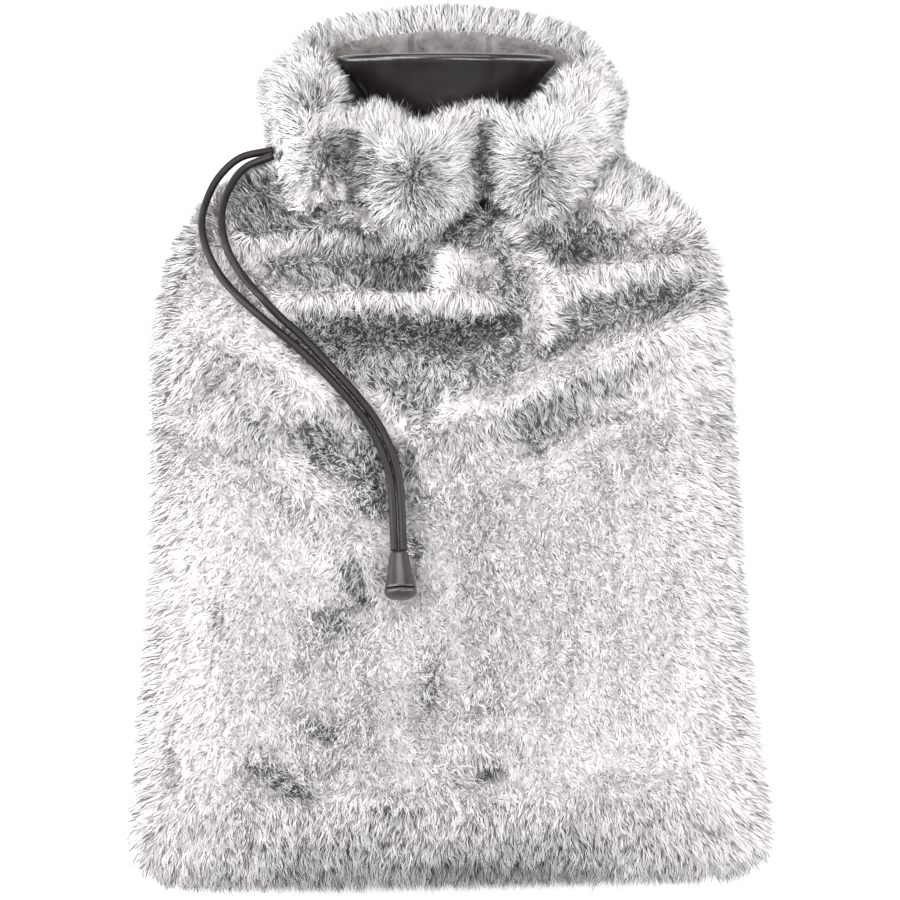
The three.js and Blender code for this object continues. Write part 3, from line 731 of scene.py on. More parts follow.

# %% [markdown]
# ## How the front's fur lies
# Frosted fur shows its pale tips where it lies over, and its dark roots where the eye looks down
# into it. The rows below also paint light and shade into its tone: a dark hollow beside a fold is
# partly roots seen end-on and partly painted shade, and a pale crest is partly tips seen across and
# partly a painted highlight. Other dark rows are painted shade and shadows alone: under the lobes,
# beside the cord, to the right of the cord and the left of the bell, and along the bottom edge.
# Each row strokes the fur along a line, one row over the other as a hand would: how pale it gets,
# how far it leans, which way it is combed, how wide the stroke is, and how soft its edge is on
# either side of the line. A crest is sharp towards its hollow and soft the other way. A fine field
# frays every edge.

# %% Strokes and painted shade on the front
FRAYED, FRAY = 1.3, 2.4  # how far an edge is frayed and the size of the frays, in mm
STROKES_AND_PAINTED_LIGHT = [
    # tone from 0 dark to 1 pale, lean in radians, comb in degrees from +X, half-width in mm, soft
    # edge on the left of the line and on its right in mm, and the line itself as (x, y) in mm
    (0.78, 0.40, -70, 18, 16, 16, [(-96, 52), (-74, 60)]),
    (0.82, 0.40, -60, 14, 14, 14, [(-100, 16), (-60, 8)]),
    (0.42, 0.25, -60, 9, 9, 9, [(-56, 2), (-28, -6)]),
    (0.56, 0.25, -60, 4, 5, 5, [(-92, 26), (-82, 20)]),
    (0.26, 0.22, -90, 9, 10, 10, [(-52, 42), (-20, 41), (6, 41)]),
    (0.14, 0.18, -90, 5, 6, 6, [(-40, 46), (-24, 46), (8, 45), (22, 47)]),
    (0.62, 0.35, -80, 5, 6, 6, [(-16, 32), (6, 31), (30, 33)]),
    (0.58, 0.45, -80, 6, 5, 5, [(0, 22), (20, 26)]),
    (0.46, 0.25, -70, 8, 10, 12, [(30, 10), (46, 14)]),
    (0.46, 0.22, -70, 5, 6, 6, [(30, 8), (44, 12)]),
    (0.44, 0.22, -80, 4, 4, 4, [(64, 26), (70, 22)]),
    (0.86, 0.40, -80, 12, 10, 10, [(78, 24), (98, 34)]),
    (0.54, 0.28, -80, 4, 7, 4, [(-12, 25), (20, 33), (48, 44), (72, 56)]),
    (0.90, 0.50, -75, 3, 5, 8,
     [(-22, 9), (-10, 12), (2, 15), (14, 17), (26, 21), (40, 28), (60, 37)]),
    (0.96, 0.50, -75, 6, 6, 10, [(60, 37), (80, 45), (100, 55)]),
    (0.34, 0.60, -60, 7, 4, 2, [(-23, 27), (-14, 18)]),
    (0.54, 0.25, -80, 8, 6, 6, [(40, 46), (60, 52), (80, 57), (94, 62)]),
    (0.34, 0.22, -80, 4, 6, 6, [(52, 54), (68, 56), (82, 58)]),
    (0.88, 0.50, -80, 5, 4, 6, [(41, 62), (56, 64)]),
    (0.92, 0.50, -75, 5, 5, 8, [(40, 68), (50, 69.5), (62, 70.5), (80, 72), (98, 75)]),
    (0.70, 0.30, -85, 8, 6, 4, [(50, 82), (66, 80.5), (88, 82)]),
    (0.15, 0.18, -60, 6.5, 2, 1.2, [(37, 80), (42, 77), (50, 77.5)]),
    (0.38, 0.20, -70, 5, 4, 3, [(50, 84), (60, 78)]),
    (0.66, 0.40, 60, 8, 6, 6, [(64, 100), (84, 98)]),
    (0.88, 0.50, 60, 3, 4, 5, [(54, 94), (66, 91), (84, 88), (98, 84)]),
    (0.24, 0.20, -90, 8, 6, 6, [(8, 84), (14, 92), (16, 104)]),
    (0.42, 0.24, -80, 5, 7, 7, [(20, 76), (23, 66), (21, 58)]),
    (0.88, 0.50, -10, 3.4, 4, 8, [(22, 84), (29, 76), (35, 68), (37, 56), (36, 44)]),
    (0.36, 0.24, -90, 7.5, 8, 6, [(-64, 71), (-50, 72), (-36, 71)]),
    (0.40, 0.20, -90, 5, 4, 4, [(-40, 74), (-30, 68)]),
    (0.10, 0.16, -90, 7.5, 3, 2, [(-24, 68.5), (-13, 68)]),
    (0.94, 0.60, 170, 5, 2.5, 8, [(0, 62), (0.5, 73)]),
    (0.86, 0.50, -80, 3, 4, 8, [(-92, 74), (-78, 75), (-62, 79.5), (-46, 83), (-34, 81)]),
    (0.20, 0.18, -90, 7, 5, 2, [(-76, 89), (-64, 88.5), (-54, 92)]),
    (0.26, 0.18, -60, 8, 5, 5, [(-75, 104), (-73, 90)]),
    (0.94, 0.55, -85, 2.4, 2.5, 11,
     [(-70, 54), (-60, 56.5), (-50, 57.5), (-38, 58.3), (-20, 57.6), (-4, 57), (12, 55)]),
    (0.95, 0.50, -40, 7, 8, 8, [(-98, 50), (-80, 45), (-66, 38), (-48, 27)]),
    # painted shade along the cord
    (0.24, 0.35, -40, 4.5, 3, 3, [(-62, 44), (-56, 39), (-50, 35)]),
    (0.90, 0.50, 60, 3, 4, 4, [(-27, 24), (-23, 16), (-20, 8)]),
    # painted shade beside the cord
    (0.20, 0.35, -60, 2.6, 2, 2, [(-33, 12), (-29, 2)]),
    # painted shadow that the cord casts to its right
    (0.14, 0.24, -80, 1.8, 2, 3, [(-15, 0), (-13.5, -30), (-12.5, -54)]),
    (0.56, 0.30, -70, 6, 8, 8, [(-80, 12), (-66, 6)]),
    (0.60, 0.30, -60, 7, 8, 8, [(-60, -6), (-48, -14)]),
    (0.52, 0.28, -80, 7, 7, 7, [(-30, 30), (-16, 27)]),
    (0.86, 0.50, -50, 6, 8, 8, [(-64, -6), (-50, -20)]),
    # these four rows: painted shade around the lobes' lower edges
    (0.44, 0.22, -90, 2.4, 3, 3, [(-64, 90), (-58, 82), (-42, 83)]),
    (0.18, 0.20, -90, 3.0, 3, 3, [(-40, 84), (-29, 79), (-19, 73)]),
    (0.20, 0.20, -90, 2.6, 3, 3, [(-11, 74), (2, 82), (9, 90), (13, 84)]),
    (0.44, 0.22, -90, 2.4, 3, 3, [(16, 82), (23, 78), (38, 78), (52, 88)]),
    # these two rows: painted shade on either side of the cord's lower part
    (0.30, 0.25, -70, 3, 3, 3, [(-28, -6), (-26, -24)]),
    (0.30, 0.25, -80, 3.5, 3, 3, [(-17, -4), (-14, -16)]),
    (0.46, 0.25, -80, 2.6, 3, 3, [(-90, -62), (-86, -68)]),
    (0.56, 0.25, -80, 4, 4, 4, [(-48, -66), (-40, -64)]),
    # painted shadow to the left of the bell
    (0.30, 0.25, -80, 3.5, 5, 5, [(-38, -46), (-33, -60)]),
    (0.50, 0.25, -80, 1.4, 1.5, 1.5, [(-58, -81), (-56, -81)]),
    (0.36, 0.22, -80, 2.2, 3, 3, [(-48, -106), (-47, -111)]),
    (0.58, 0.25, -50, 4.5, 5, 5, [(-78, -122), (-66, -126), (-54, -132)]),
    (0.42, 0.25, -40, 1.4, 2.5, 2.5, [(-76, -124), (-66, -128), (-58, -131), (-54, -134)]),
    (0.56, 0.25, -90, 2.4, 3, 3, [(-108, -116), (-107, -128)]),
    (0.52, 0.25, -60, 1.6, 2.5, 2.5, [(-30, -138), (-14, -139.5)]),
    (0.10, 0.20, -80, 1.8, 1.6, 1.6, [(12, -122.5), (15, -123), (20, -125)]),
    (0.36, 0.20, -80, 1.2, 1.5, 1.5, [(51, -108), (58, -108.5)]),
    (0.32, 0.20, -80, 1.4, 1.5, 1.5, [(63, -114), (63.5, -117)]),
    (0.74, 0.30, -80, 3, 3, 3, [(-46, -146), (-10, -147), (20, -143), (48, -148)]),
    (0.54, 0.30, -85, 4, 4, 4, [(-74, -153), (-30, -154), (20, -153), (66, -153)]),
    (0.54, 0.25, -70, 2, 2.5, 2.5, [(97, -145), (102, -147)]),
    # these two rows: painted shade along the bottom edge, which faces away from the lamps
    (0.36, 0.30, -90, 4, 4, 4, [(-62, -163), (-30, -162), (20, -161), (58, -162)]),
    (0.14, 0.25, -90, 3, 3, 3, [(-6, -162), (13, -161), (34, -163)]),
    (0.62, 0.35, -90, 3.5, 4, 4, [(-112, -167), (-84, -167)]),
]


def stroked(points, lay, tone, strokes):
    """The lay and tone after each stroke has gone over what was there. A lay is comb times lean."""
    at = points[:, :2] / MM
    ragged = FRAYED * waves(points, FRAY * MM, 107)
    for pale, lean, way, half, left_edge, right_edge, line in strokes:
        reach, left = line_reach(at, line)
        share = smooth((half + ragged - reach) / np.where(left, left_edge, right_edge), -0.5, 0.5)
        angle = math.radians(way)
        target = lean * np.array([math.cos(angle), math.sin(angle), 0])
        lay = lay + share[:, None] * (target - lay)
        tone = tone + share * (pale - tone)
    return lay, tone


print(len(STROKES_AND_PAINTED_LIGHT), "strokes")

# %% [markdown]
# ## Pile of the front
# The lower half is stroked smooth and light, downwards and a little to the right, and painted a
# little darker along its middle as painted shade. The upper half is ruffled and shows more of the
# dark roots. Both turn paler at the sides, partly because the pile stands proud there and is seen
# across its length, and partly as painted light. Over this ground come the strokes, with their
# painted shade and light, then soft random fields that swirl and mottle the fur, less so where it
# is palest. Each field has a size and a seed.

# %% Front
UPPER = (-30, 40)  # y in mm between which the smooth lower half turns into the upper
RIM = (70, 112)  # |x| in mm where the sides begin, and where they are fully pale
BELLY = (15, 80)  # mm from the belly's middle line, where it is darkest and where it ends
BELLY_MIDDLE = -14
CALM = (0.8, 0.95)  # tones between which the random fields die down


def turned(lay, angle):
    """Lays turned about the upright axis by an angle each."""
    return np.column_stack([
        lay[:, 0] * np.cos(angle) - lay[:, 1] * np.sin(angle),
        lay[:, 0] * np.sin(angle) + lay[:, 1] * np.cos(angle),
        lay[:, 2],
    ])


def front_look(points, seed):
    """The lay and the tone of the fur at points of the front."""
    draw = np.random.default_rng(seed)
    x, y = points[:, 0] / MM, points[:, 1] / MM
    upper = smooth(y, *UPPER)
    # paler sides: partly the pile seen across its length, partly painted light
    rim = smooth(np.abs(x), *RIM) * (1 - 0.5 * upper)
    lay = np.outer(0.24 + 0.06 * upper + 0.12 * rim, unit(np.array([[0.25, -1.0, 0.0]]))[0])
    # the lower half's middle is painted darker: painted shade
    belly = (1 - upper) * (1 - smooth(np.abs(x - BELLY_MIDDLE), *BELLY))
    tone = 0.88 - 0.22 * upper + 0.10 * rim - 0.11 * belly + 0.05 * waves(points, 30 * MM, 108)
    lay, tone = stroked(points, lay, tone, STROKES_AND_PAINTED_LIGHT)
    calm = 1 - 0.75 * smooth(tone, *CALM)
    swirl = 0.5 * waves(points, 22 * MM, 101) + 0.9 * waves(points, 6 * MM, 102)
    swirl = (0.6 + 0.4 * upper) * swirl
    lay = turned(lay, swirl * (0.4 + 0.6 * calm))
    lay[:, 0] += 0.16 * waves(points, 3 * MM, 103) + draw.normal(0, 0.10, len(points))
    lay[:, 1] += 0.16 * waves(points, 3 * MM, 106) + draw.normal(0, 0.10, len(points))
    mottle = 0.5 * waves(points, 13 * MM, 104) + 1.0 * waves(points, 2.4 * MM, 105)
    tone = tone + 0.16 * mottle * (0.2 + 0.8 * calm) + draw.normal(0, 0.04, len(points))
    return lay, tone


print("the front's fur is laid out")

# %% [markdown]
# ## Sowing the front
# The front is grown in three bands across, so that no piece is too big. Its wall at the neck and
# its underside stay bare, because the heading and the back cover them. A lock that would grow into
# the bottle, the lining or the heading is cut short or left out, and the cord presses the rest
# down.

# %% Sowing the front
LOCKS = 1.25 * MM  # from one lock to the next
BLADES = 5  # to a lock
RIM_PROUD = 3.6  # mm that the pile stands proud where the front turns down
hard_pieces = tree_of(bottle, lining, heading_cloth)


def front_pile(name, low, high, seed):
    """The pile between two heights, but for the wall at the neck and the underside."""
    def kept(at, out):
        return (faces_out(at, out) & (at[:, 1] >= low * MM) & (at[:, 1] < high * MM)
                & (out[:, 1] < 0.92) & (out[:, 2] > -0.5))
    points, normals, depth = sow(front_side, kept, LOCKS, seed)
    lay, tone = front_look(points, seed)
    proud = np.random.default_rng(seed + 50).uniform(0.2, 1.0, len(points))
    proud = (proud + RIM_PROUD * (1 - np.clip(normals[:, 2], 0, 1)) ** 1.5) * MM
    return grow(name, (points - normals * depth[:, None], normals), (lay, tone, depth + proud),
                BLADES, seed, blocked=hard_pieces, pressed=under_cords)


FRONT_BANDS = [  # name, lowest and highest y in mm, and seed
    ("pile_front_upper", 8, 200, 11),
    ("pile_front_middle", -78, 8, 12),
    ("pile_front_lower", -200, -78, 13),
]
front_piles = [front_pile(*band) for band in FRONT_BANDS]

# %% [markdown]
# ## Pile of the back
# The back lies on the table, where its pile is flattened, and only its rim is seen. It is sown
# thinner, and combed down towards the lower edge like the front.

# %% Back
BACK_LOCKS, BACK_BLADES = 2.6 * MM, 4


def back_kept(at, out):
    return faces_out(at, out) & (out[:, 2] < 0.5)


points, normals, depth = sow(back_side, back_kept, BACK_LOCKS, 21)
draw = np.random.default_rng(22)
aside, none = 0.3 * waves(points, 20 * MM, 23), np.zeros(len(points))
comb = unit(np.column_stack([aside, none - 1, none]))
lay = comb * (0.7 + 0.15 * waves(points, 12 * MM, 24))[:, None]
tone = 0.84 + 0.12 * waves(points, 12 * MM, 25) + draw.normal(0, 0.06, len(points))
proud = draw.uniform(0.4, 2.0, len(points)) * MM
pile_back = grow("pile_back", (points - normals * depth[:, None], normals),
                 (lay, tone, depth + proud), BACK_BLADES, 26, spread=1.5 * MM, wide=0.42 * MM)

# %% [markdown]
# ## Pile of the heading
# The gathers bulge into round lobes. On each the fibres stand out from one point like the rays of
# a dandelion: dark where the eye looks down on them, and pale at the rim, where they lie across.
# Deep creases between the lobes are painted dark, as painted shade. Behind the funnel the heading
# is a plain collar, whose fibres all point outwards.

# %% Heading
POLES = np.array([(-42, 108), (-14, 101), (33, 102), (-54, 134)], float)  # (x, y) in mm
RAY_REACH = 19  # mm from a pole to where its rays lie flattest
COLLAR_BELOW = 26 * MM
COLLAR_TONE, COLLAR_LEAN = 0.64, 0.6
COLLAR_MIDDLE = np.array([0, 118, 0]) * MM
LOBE_STROKES_AND_PAINTED_SHADE = [  # with the columns of the strokes on the front
    (0.68, 0.50, 120, 2.5, 3, 3, [(-31, 126), (-34, 113), (-37, 101), (-31, 89)]),
    (0.70, 0.50, -90, 3, 4, 3, [(-31, 89), (-16, 80), (0, 86), (7, 97), (8, 108)]),
    (0.74, 0.50, -20, 3, 3, 4, [(52, 128), (54, 112), (52, 98), (42, 88), (30, 83)]),
    (0.70, 0.50, 200, 3, 3, 4, [(-67, 112), (-65, 98), (-58, 87)]),
    (0.76, 0.45, 100, 4, 4, 4, [(-62, 122), (-50, 123), (-42, 126)]),
    (0.80, 0.55, 90, 3, 3, 5,
     [(-37, 130), (-28, 132), (-16, 130), (-11, 125), (-4, 129), (6, 132), (20, 131)]),
    (0.74, 0.55, 30, 4, 4, 5, [(-46, 148), (-42, 141), (-39, 134)]),
    (0.74, 0.55, 150, 4, 5, 4, [(42, 149), (37, 141), (28, 134)]),
    # these two rows: painted shade in the creases between the lobes
    (0.20, 0.22, -90, 3.5, 4, 4, [(14, 122), (13, 110), (15, 98), (13, 86)]),
    (0.16, 0.20, -90, 3.2, 3, 3, [(-37, 118), (-36, 108), (-36, 98), (-33, 84)]),
]


def heading_look(points, seed):
    """The lay and the tone of the fur at points of the heading, and how far each is collar."""
    draw = np.random.default_rng(seed)
    at = points[:, :2] / MM
    apart = np.linalg.norm(at[:, None] - POLES[None], axis=2)
    away = at - POLES[apart.argmin(1)]
    near = np.clip(apart.min(1) / RAY_REACH, 0, 1)
    lay = unit(np.column_stack([away, np.zeros(len(at))])) * (0.08 + 0.38 * near)[:, None]
    tone = 0.36 + 0.34 * near + 0.12 * smooth(at[:, 1], 112, 132)
    tone = tone + 0.08 * waves(points, 8 * MM, 201)
    lay, tone = stroked(points, lay, tone, LOBE_STROKES_AND_PAINTED_SHADE)
    collar = 1 - smooth(points[:, 2], COLLAR_BELOW - 6 * MM, COLLAR_BELOW + 8 * MM)
    outward = unit((points - COLLAR_MIDDLE) * [1, 1, 0])
    lay = lay + collar[:, None] * (COLLAR_LEAN * outward - lay)
    tone = tone + collar * (COLLAR_TONE - tone)
    lay = turned(lay, 0.8 * waves(points, 5 * MM, 203) * (1 - collar))
    lay[:, :2] += draw.normal(0, 0.12, (len(at), 2))
    return lay, tone + 0.20 * waves(points, 2.2 * MM, 202), collar


print(len(LOBE_STROKES_AND_PAINTED_SHADE), "strokes on the heading")

# %% [markdown]
# ## Sowing the heading
# The heading is furred all round, but for the wall behind the funnel, which the lining covers. The
# lobes in front and the collar behind are two pieces, and the collar's pile stands further out.

# %% Sowing the heading
HEADING_LOCKS = 1.2 * MM
COLLAR_PROUD = 2.8  # mm


def heading_kept(at, out):
    """All but the wall behind the funnel, which the lining covers."""
    inward = np.einsum("ij,ij->i", (COLLAR_MIDDLE - at) * [1, 1, 0], out) > 0
    return ~(inward & (at[:, 2] < COLLAR_BELOW) & (out[:, 2] < 0.5))


points, normals, depth = sow(heading_side, heading_kept, HEADING_LOCKS, 31)
lay, tone, collar = heading_look(points, 32)
proud = np.random.default_rng(33).uniform(0.8, 2.0, len(points))
proud = (proud + COLLAR_PROUD * collar) * MM
soft_pieces = tree_of(bottle, lining, front_cloth, back_cloth)


def heading_pile(name, part, seed):
    roots = (points - normals * depth[:, None])[part]
    return grow(name, (roots, normals[part]), (lay[part], tone[part], (depth + proud)[part]),
                BLADES, seed, blocked=soft_pieces, pressed=under_cords)


behind = points[:, 2] < COLLAR_BELOW
pile_lobes = heading_pile("pile_heading_front", ~behind, 34)
pile_collar = heading_pile("pile_heading_rear", behind, 35)

# %% [markdown]
# ## Nap of the lining
# The heading is lined with velour, whose nap is only a millimetre or two long. A thin fuzz of short
# blades on the side that faces the funnel breaks up its edge and catches the light.

# %% Lining nap
NAP_LOCKS, NAP_BLADES = 0.85 * MM, 2
lining_side = dict(zip(("points", "normals", "corners"), arrays_of(lining)))
lining_side["depth"] = np.zeros(len(lining_side["points"]))


def faces_funnel(at, out):
    return np.einsum("ij,ij->i", COLLAR_MIDDLE * [1, 1, 0] - at * [1, 1, 0], out) > 0


points, normals, _ = sow(lining_side, faces_funnel, NAP_LOCKS, 41)
draw = np.random.default_rng(42)
none = np.zeros(len(points))
lay = np.column_stack([0.35 * waves(points, 8 * MM, 43), none, none + 0.7])
tone = 0.50 + 0.22 * waves(points, 2.5 * MM, 44) + draw.normal(0, 0.10, len(points))
rise = draw.uniform(0.5, 1.2, len(points)) * MM
nap = grow("lining_nap", (points, normals), (lay, tone, rise), NAP_BLADES, 45,
           spread=0.4 * MM, wide=0.22 * MM, blocked=tree_of(bottle))

# %% [markdown]
# ## Fur
# Frosted acrylic fur: extruded fibres, dyed grey at the root and bleached nearly white at the tip.
# A dark and a pale dye each run from root to tip along V, and U mixes the two by each lock's tone,
# which holds painted shade and painted light as well as the fur's own tone. The dark dye's greenish
# grey is the tint of that painted shade. Acrylic has an IOR of 1.49, and its crimped fibres scatter
# light softly.

# %% Fur material
fur, shader = new_material("acrylic_fur_frosted", Roughness=0.62, IOR=1.49)
uv = add_node(fur, "ShaderNodeUVMap", uv_map="OFBake")
split = add_node(fur, "ShaderNodeSeparateXYZ", {"Vector": uv.outputs["UV"]})
dark = add_node(fur, "ShaderNodeValToRGB", {"Fac": split.outputs["Y"]}, stops=[
    (0, "#2c2e2d"), (0.4, "#404342"), (0.75, "#868887"), (1, "#c6c5c5"),
])
pale = add_node(fur, "ShaderNodeValToRGB", {"Fac": split.outputs["Y"]}, stops=[
    (0, "#dbd7d9"), (0.3, "#e4e0e2"), (0.6, "#e7e3e5"), (1, "#ece9eb"),
])
MIX, DYE_A, DYE_B, MIXED = 0, 6, 7, 2  # the mixing node's colour sockets, by number
mixed = add_node(fur, "ShaderNodeMix", {
    MIX: split.outputs["X"], DYE_A: dark.outputs["Color"], DYE_B: pale.outputs["Color"],
}, data_type="RGBA")
paint(fur, shader, Base_Color=mixed.outputs[MIXED])
coat(fur, *front_piles, pile_back, pile_lobes, pile_collar)

# %% [markdown]
# ## Tone of the backing
# Where the pile parts, the eye meets the knit it grows from. A knit of one colour would show there
# as dark or pale specks. So each corner of the cloth carries the tone of the fur that grows at that
# place, as an attribute, worked out by the same rules as the fur's, painted shade and light
# included.

# %% Tone of the backing
BACK_TONE = 0.8


def carry_tone(cloth, tone):
    layer = cloth.data.attributes.new("tone", "FLOAT", "POINT")
    layer.data.foreach_set("value", np.asarray(tone, np.float32))


carry_tone(front_cloth, front_look(arrays_of(front_cloth)[0], 61)[1])
carry_tone(back_cloth, np.full(len(back_cloth.data.vertices), BACK_TONE))
carry_tone(heading_cloth, heading_look(arrays_of(heading_cloth)[0], 62)[1])
print("backing toned")

# %% [markdown]
# ## Knitted backing
# The fur's ground is a warp knit in matt polyester, IOR 1.5, coloured to go with the pile: it is as
# pale or as dark as the fibres that grow from it, their painted shade and light included. Two
# crossed sets of bands raise it a little, as its wales and courses do. They are drawn 2.4 and 2 mm
# apart, about twice the real 1.2 mm, as finer ones wouldn't show.

# %% Backing material
WALES, COURSES = 130, 160  # a wave's bands lie 314 mm divided by its scale apart
knit, shader = new_material("knitted_polyester_backing", Roughness=0.95, IOR=1.5)
place = add_node(knit, "ShaderNodeTexCoord").outputs["Object"]
wale, course = (
    add_node(knit, "ShaderNodeTexWave",
             {"Vector": place, "Scale": scale, "Distortion": 1.5, "Detail": 1.0},
             bands_direction=way).outputs["Fac"]
    for scale, way in ((WALES, "X"), (COURSES, "Y"))
)
loops = add_node(knit, "ShaderNodeMath", {0: wale, 1: course}, operation="MULTIPLY")
tone = add_node(knit, "ShaderNodeAttribute", attribute_name="tone")
shade = add_node(knit, "ShaderNodeValToRGB", {"Fac": tone.outputs["Fac"]}, stops=[
    (0, "#2a2c2b"), (0.5, "#575857"), (0.72, "#a8a3a6"), (0.9, "#cdc8cb"), (1, "#e0dcde"),
])
relief = add_node(knit, "ShaderNodeBump",
                  {"Height": loops.outputs["Value"], "Strength": 0.6, "Distance": 0.4 * MM})
paint(knit, shader, Base_Color=shade.outputs["Color"], Normal=relief.outputs["Normal"])
coat(knit, front_cloth, back_cloth, heading_cloth)

# %% [markdown]
# ## Velour lining
# Polyester velour has a dense short nap. It looks darker and lighter in soft patches about 6 mm
# across, where the nap has been brushed, and its edge glows against the light, which the shader's
# sheen gives. A grain of 0.7 mm stands for the tufts. The nap's own blades share the material, so
# they follow its patches. Two creases run up the lining, 15 mm to either side of its middle, where
# the gathering pinches it, and their shade is painted into the colour as two darker lines.

# %% Velour material
BRUSHED, TUFTS = 160, 1400  # patches and tufts to a metre
CREASE_PLACE, CREASE_HALF, CREASE_SHADE = 15 * MM, 1.1 * MM, -0.14
velour, shader = new_material("polyester_velour_grey", Roughness=0.9, IOR=1.5,
                              Sheen_Weight=0.35, Sheen_Roughness=0.5)
place = add_node(velour, "ShaderNodeTexCoord").outputs["Object"]
brushed = add_node(velour, "ShaderNodeTexNoise", {
    "Vector": place, "Scale": BRUSHED, "Detail": 4.0, "Roughness": 0.65,
})
split = add_node(velour, "ShaderNodeSeparateXYZ", {"Vector": place})
aside = add_node(velour, "ShaderNodeMath", {0: split.outputs["X"]}, operation="ABSOLUTE")
# the creases' painted shade: darker within 1.1 mm of 15 mm to either side of the middle
crease = add_node(velour, "ShaderNodeMath", {
    0: aside.outputs["Value"], 1: CREASE_PLACE, 2: CREASE_HALF,
}, operation="COMPARE")
patches = add_node(velour, "ShaderNodeMath", {
    0: crease.outputs["Value"], 1: CREASE_SHADE, 2: brushed.outputs["Fac"],
}, operation="MULTIPLY_ADD")
shade = add_node(velour, "ShaderNodeValToRGB", {"Fac": patches.outputs["Value"]}, stops=[
    (0.1, "#2f2c2c"), (0.3, "#524e4e"), (0.7, "#827e7d"),
])
grain = add_node(velour, "ShaderNodeTexNoise", {"Vector": place, "Scale": TUFTS, "Detail": 2.0})
relief = add_node(velour, "ShaderNodeBump",
                  {"Height": grain.outputs["Fac"], "Strength": 0.5, "Distance": 0.3 * MM})
paint(velour, shader, Base_Color=shade.outputs["Color"], Normal=relief.outputs["Normal"])
coat(velour, lining, nap)

# %% [markdown]
# ## Rubber
# The bottle is moulded from dark rubber with a satin skin, whose IOR is about 1.52. Handling
# leaves patches of duller skin, 22 mm across, and the mould leaves a faint orange-peel, drawn as a
# grain of 1.4 mm. Moulded plastic is made up in the same way, so one function builds both, with its
# patches and its grain counted to a metre.

# %% Rubber material
def moulded(name, ior, patches, tints, gloss, grain, strength, depth):
    """A moulded skin: patches vary its tint and its roughness, and a grain raises it."""
    skin, shader = new_material(name, IOR=ior)
    place = add_node(skin, "ShaderNodeTexCoord").outputs["Object"]
    handled = add_node(skin, "ShaderNodeTexNoise",
                       {"Vector": place, "Scale": patches, "Detail": 3.0}).outputs["Fac"]
    shade = add_node(skin, "ShaderNodeValToRGB", {"Fac": handled},
                     stops=[(0.3, tints[0]), (0.7, tints[1])])
    dull = add_node(skin, "ShaderNodeMapRange",
                    {"Value": handled, "To Min": gloss[0], "To Max": gloss[1]})
    peel = add_node(skin, "ShaderNodeTexNoise", {"Vector": place, "Scale": grain, "Detail": 2.0})
    relief = add_node(skin, "ShaderNodeBump",
                      {"Height": peel.outputs["Fac"], "Strength": strength, "Distance": depth})
    paint(skin, shader, Base_Color=shade.outputs["Color"], Roughness=dull.outputs["Result"],
          Normal=relief.outputs["Normal"])
    return skin


rubber = moulded("moulded_rubber_satin", ior=1.52, patches=45, tints=("#141112", "#1d191a"),
                 gloss=(0.14, 0.24), grain=700, strength=0.25, depth=0.2 * MM)
coat(rubber, bottle)

# %% [markdown]
# ## Braided cord
# The drawstring is a polyester braid: yarns cross in two directions round a core. The tube's own UV
# map, with metres along U and one turn along V, carries two sets of slanting bands, 1.4 mm apart,
# which is drawn a little coarser than the real 1.2 mm so that it shows.

# %% Cord material
BRAID_PITCH = 1.4 * MM
BRAID_YARNS = 4
braid, shader = new_material("braided_polyester_cord", Roughness=0.42, IOR=1.53,
                             Specular_IOR_Level=0.25)
uv = add_node(braid, "ShaderNodeUVMap", uv_map="Lay")
split = add_node(braid, "ShaderNodeSeparateXYZ", {"Vector": uv.outputs["UV"]})
along = add_node(braid, "ShaderNodeMath", {
    0: split.outputs["X"], 1: 2 * math.pi / BRAID_PITCH,
}, operation="MULTIPLY")
yarns = []
for turn in (-BRAID_YARNS, BRAID_YARNS):
    slant = add_node(braid, "ShaderNodeMath", {
        0: split.outputs["Y"], 1: 2 * math.pi * turn, 2: along.outputs["Value"],
    }, operation="MULTIPLY_ADD")
    yarns.append(add_node(braid, "ShaderNodeMath", {0: slant.outputs["Value"]}, operation="SINE"))
crossed = add_node(braid, "ShaderNodeMath", {
    0: yarns[0].outputs["Value"], 1: yarns[1].outputs["Value"],
}, operation="MAXIMUM")
height = add_node(braid, "ShaderNodeMapRange",
                  {"Value": crossed.outputs["Value"], "From Min": -0.6}).outputs["Result"]
# the grooves between the yarns are painted darker than their crests: painted shade
tint = add_node(braid, "ShaderNodeValToRGB", {"Fac": height},
                stops=[(0, "#0b0809"), (1, "#1c1516")])
relief = add_node(braid, "ShaderNodeBump",
                  {"Height": height, "Strength": 0.35, "Distance": 0.15 * MM})
paint(braid, shader, Base_Color=tint.outputs["Color"], Normal=relief.outputs["Normal"])
coat(braid, *cords.values())

# %% [markdown]
# ## Moulded bell
# The bell and its cap are ABS, moulded with a satin skin: IOR 1.54, and soft highlights where the
# panels of light meet its sides. Rubbed patches 4 mm across vary its gloss, and a grain of about
# half a millimetre, coarser than the real one so that it shows, breaks it up.

# %% Bell material
plastic = moulded("moulded_abs_satin", ior=1.54, patches=260, tints=("#241d1f", "#31282b"),
                  gloss=(0.24, 0.38), grain=2200, strength=0.2, depth=0.1 * MM)
coat(plastic, bell, bell_cap)

# %% [markdown]
# ## Floor
# The bottle lies on a plain white sheet, wide enough that its edge is never seen.

# %% Floor
FLOOR_WIDE = 8
bpy.ops.object.select_all(action="DESELECT")
bpy.ops.mesh.primitive_plane_add(size=FLOOR_WIDE, location=(0, 0, 0))
floor = bpy.context.object
floor.name = "floor"
PAPER = (0.9, 0.9, 0.9, 1)
paper, _ = new_material("white_paper_floor", Roughness=0.9, Base_Color=PAPER)
coat(paper, floor)
print("floor", FLOOR_WIDE, "m wide")

# %% [markdown]
# ## Light
# Fur is lit best by big soft sources. A bright sky stands all round. Three panels hang high up: a
# wide one beyond the funnel, which lights every crest from that side and leaves its lower slope in
# shade, and a tall one to the left and to the right, which draw the highlights on the bell and the
# funnel. Two long panels stand low at either side and brighten the rims, where the pile turns down.

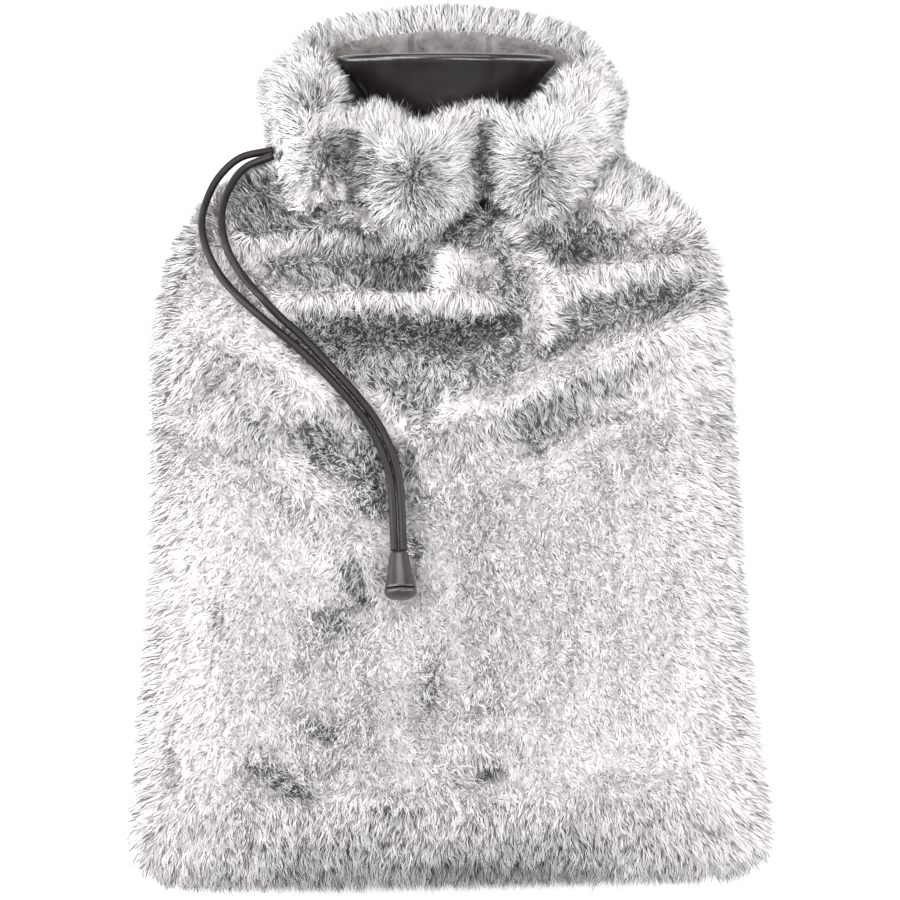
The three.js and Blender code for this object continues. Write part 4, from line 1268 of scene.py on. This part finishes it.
# %% Light
SKY = 0.62
WHITE = (1, 1, 1, 1)
AIM = Vector((0, 0, 0.03))
LIGHTS = [  # name, place in m, width and height in m, and power in watts
    ("beyond", (0.0, 1.0, 1.3), (1.4, 0.6), 15),
    ("left", (-0.85, 0.45, 1.6), (0.5, 1.0), 20),
    ("right", (0.4, -0.3, 1.75), (0.4, 0.9), 12),
    ("low left", (-1.1, 0.0, 0.6), (0.5, 1.4), 21),
    ("low right", (1.1, 0.0, 0.6), (0.5, 1.4), 16),
]
bpy.context.scene.view_settings.view_transform = "Standard"
world = bpy.data.worlds.get("World") or bpy.data.worlds.new("World")
bpy.context.scene.world = world
world.use_nodes = True
sky = world.node_tree.nodes["Background"]
sky.inputs["Color"].default_value = WHITE
sky.inputs["Strength"].default_value = SKY
for name, place, (wide, tall), power in LIGHTS:
    lamp = bpy.data.lights.new(name, "AREA")
    lamp.shape = "RECTANGLE"
    lamp.size, lamp.size_y, lamp.energy = wide, tall, power
    light = add_object(name, lamp)
    light.location = place
    light.rotation_euler = (AIM - Vector(place)).to_track_quat("-Z", "Y").to_euler()
print(len(LIGHTS), "panels and the sky")

# %% [markdown]
# ## What each piece is
# Every piece, listed by the finish it wears, rides on the one body, and the solid that it dresses
# is hidden. Nothing here moves, so there are no joints.

# %% Bodies, and the dressed solids hidden
# Bodies, slots and stand-ins
SLOTS = {
    "fur": (front_cloth, back_cloth, heading_cloth,
            *front_piles, pile_back, pile_lobes, pile_collar),
    "velour": (lining, nap),
    "rubber": (bottle,),
    "cord": (cords["outer"], cords["inner"]),
    "bell": (bell, bell_cap),
}
for slot, pieces in SLOTS.items():
    for piece in pieces:
        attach(piece, ROOT)
DRESSED = {
    "front_panel": front_cloth, "back_panel": back_cloth, "heading": heading_cloth,
    "heading_lining": lining, "bottle": bottle, "cord_bell": bell, "cord_bell_cap": bell_cap,
    "cord_outer": cords["outer"], "cord_inner": cords["inner"],
}
for node, piece in DRESSED.items():
    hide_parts(node)
print(sum(len(pieces) for pieces in SLOTS.values()), "pieces ride on", ROOT)

# %% [markdown]
# ## Cords and cloths
# The strands' lengths are printed with their routes above, and the bell is the fitting on their
# end. Each cloth is listed with the size that it was cut to: the back lies flat on the table, the
# front is laid over the bottle, and the heading and its lining are gathered by the drawstring. Its
# surface is printed beside the area of that cut.


def surface_of(piece):
    piece.data.calc_loop_triangles()
    return sum(triangle.area for triangle in piece.data.loop_triangles)


CUT = [  # cloth, width and length in m as it was cut, how it is held, what it rests on, its pile
    (front_cloth, (0.28, 0.29), "laid", ["bottle"], front_piles),
    (back_cloth, (0.26, 0.29), "laid", ["bottle"], [pile_back]),
    (heading_cloth, (0.46, 0.042), "gathered", ["bottle", "heading_lining"],
     [pile_lobes, pile_collar]),
    (lining, (0.11, 0.045), "gathered", ["bottle"], [nap]),
]
for cloth, flat, held, rests, pile in CUT:
    print(cloth.name, "has", round(surface_of(cloth) * 1e4), "cm2 of surface for a cut of",
          round(flat[0] * flat[1] * 1e4), "cm2")
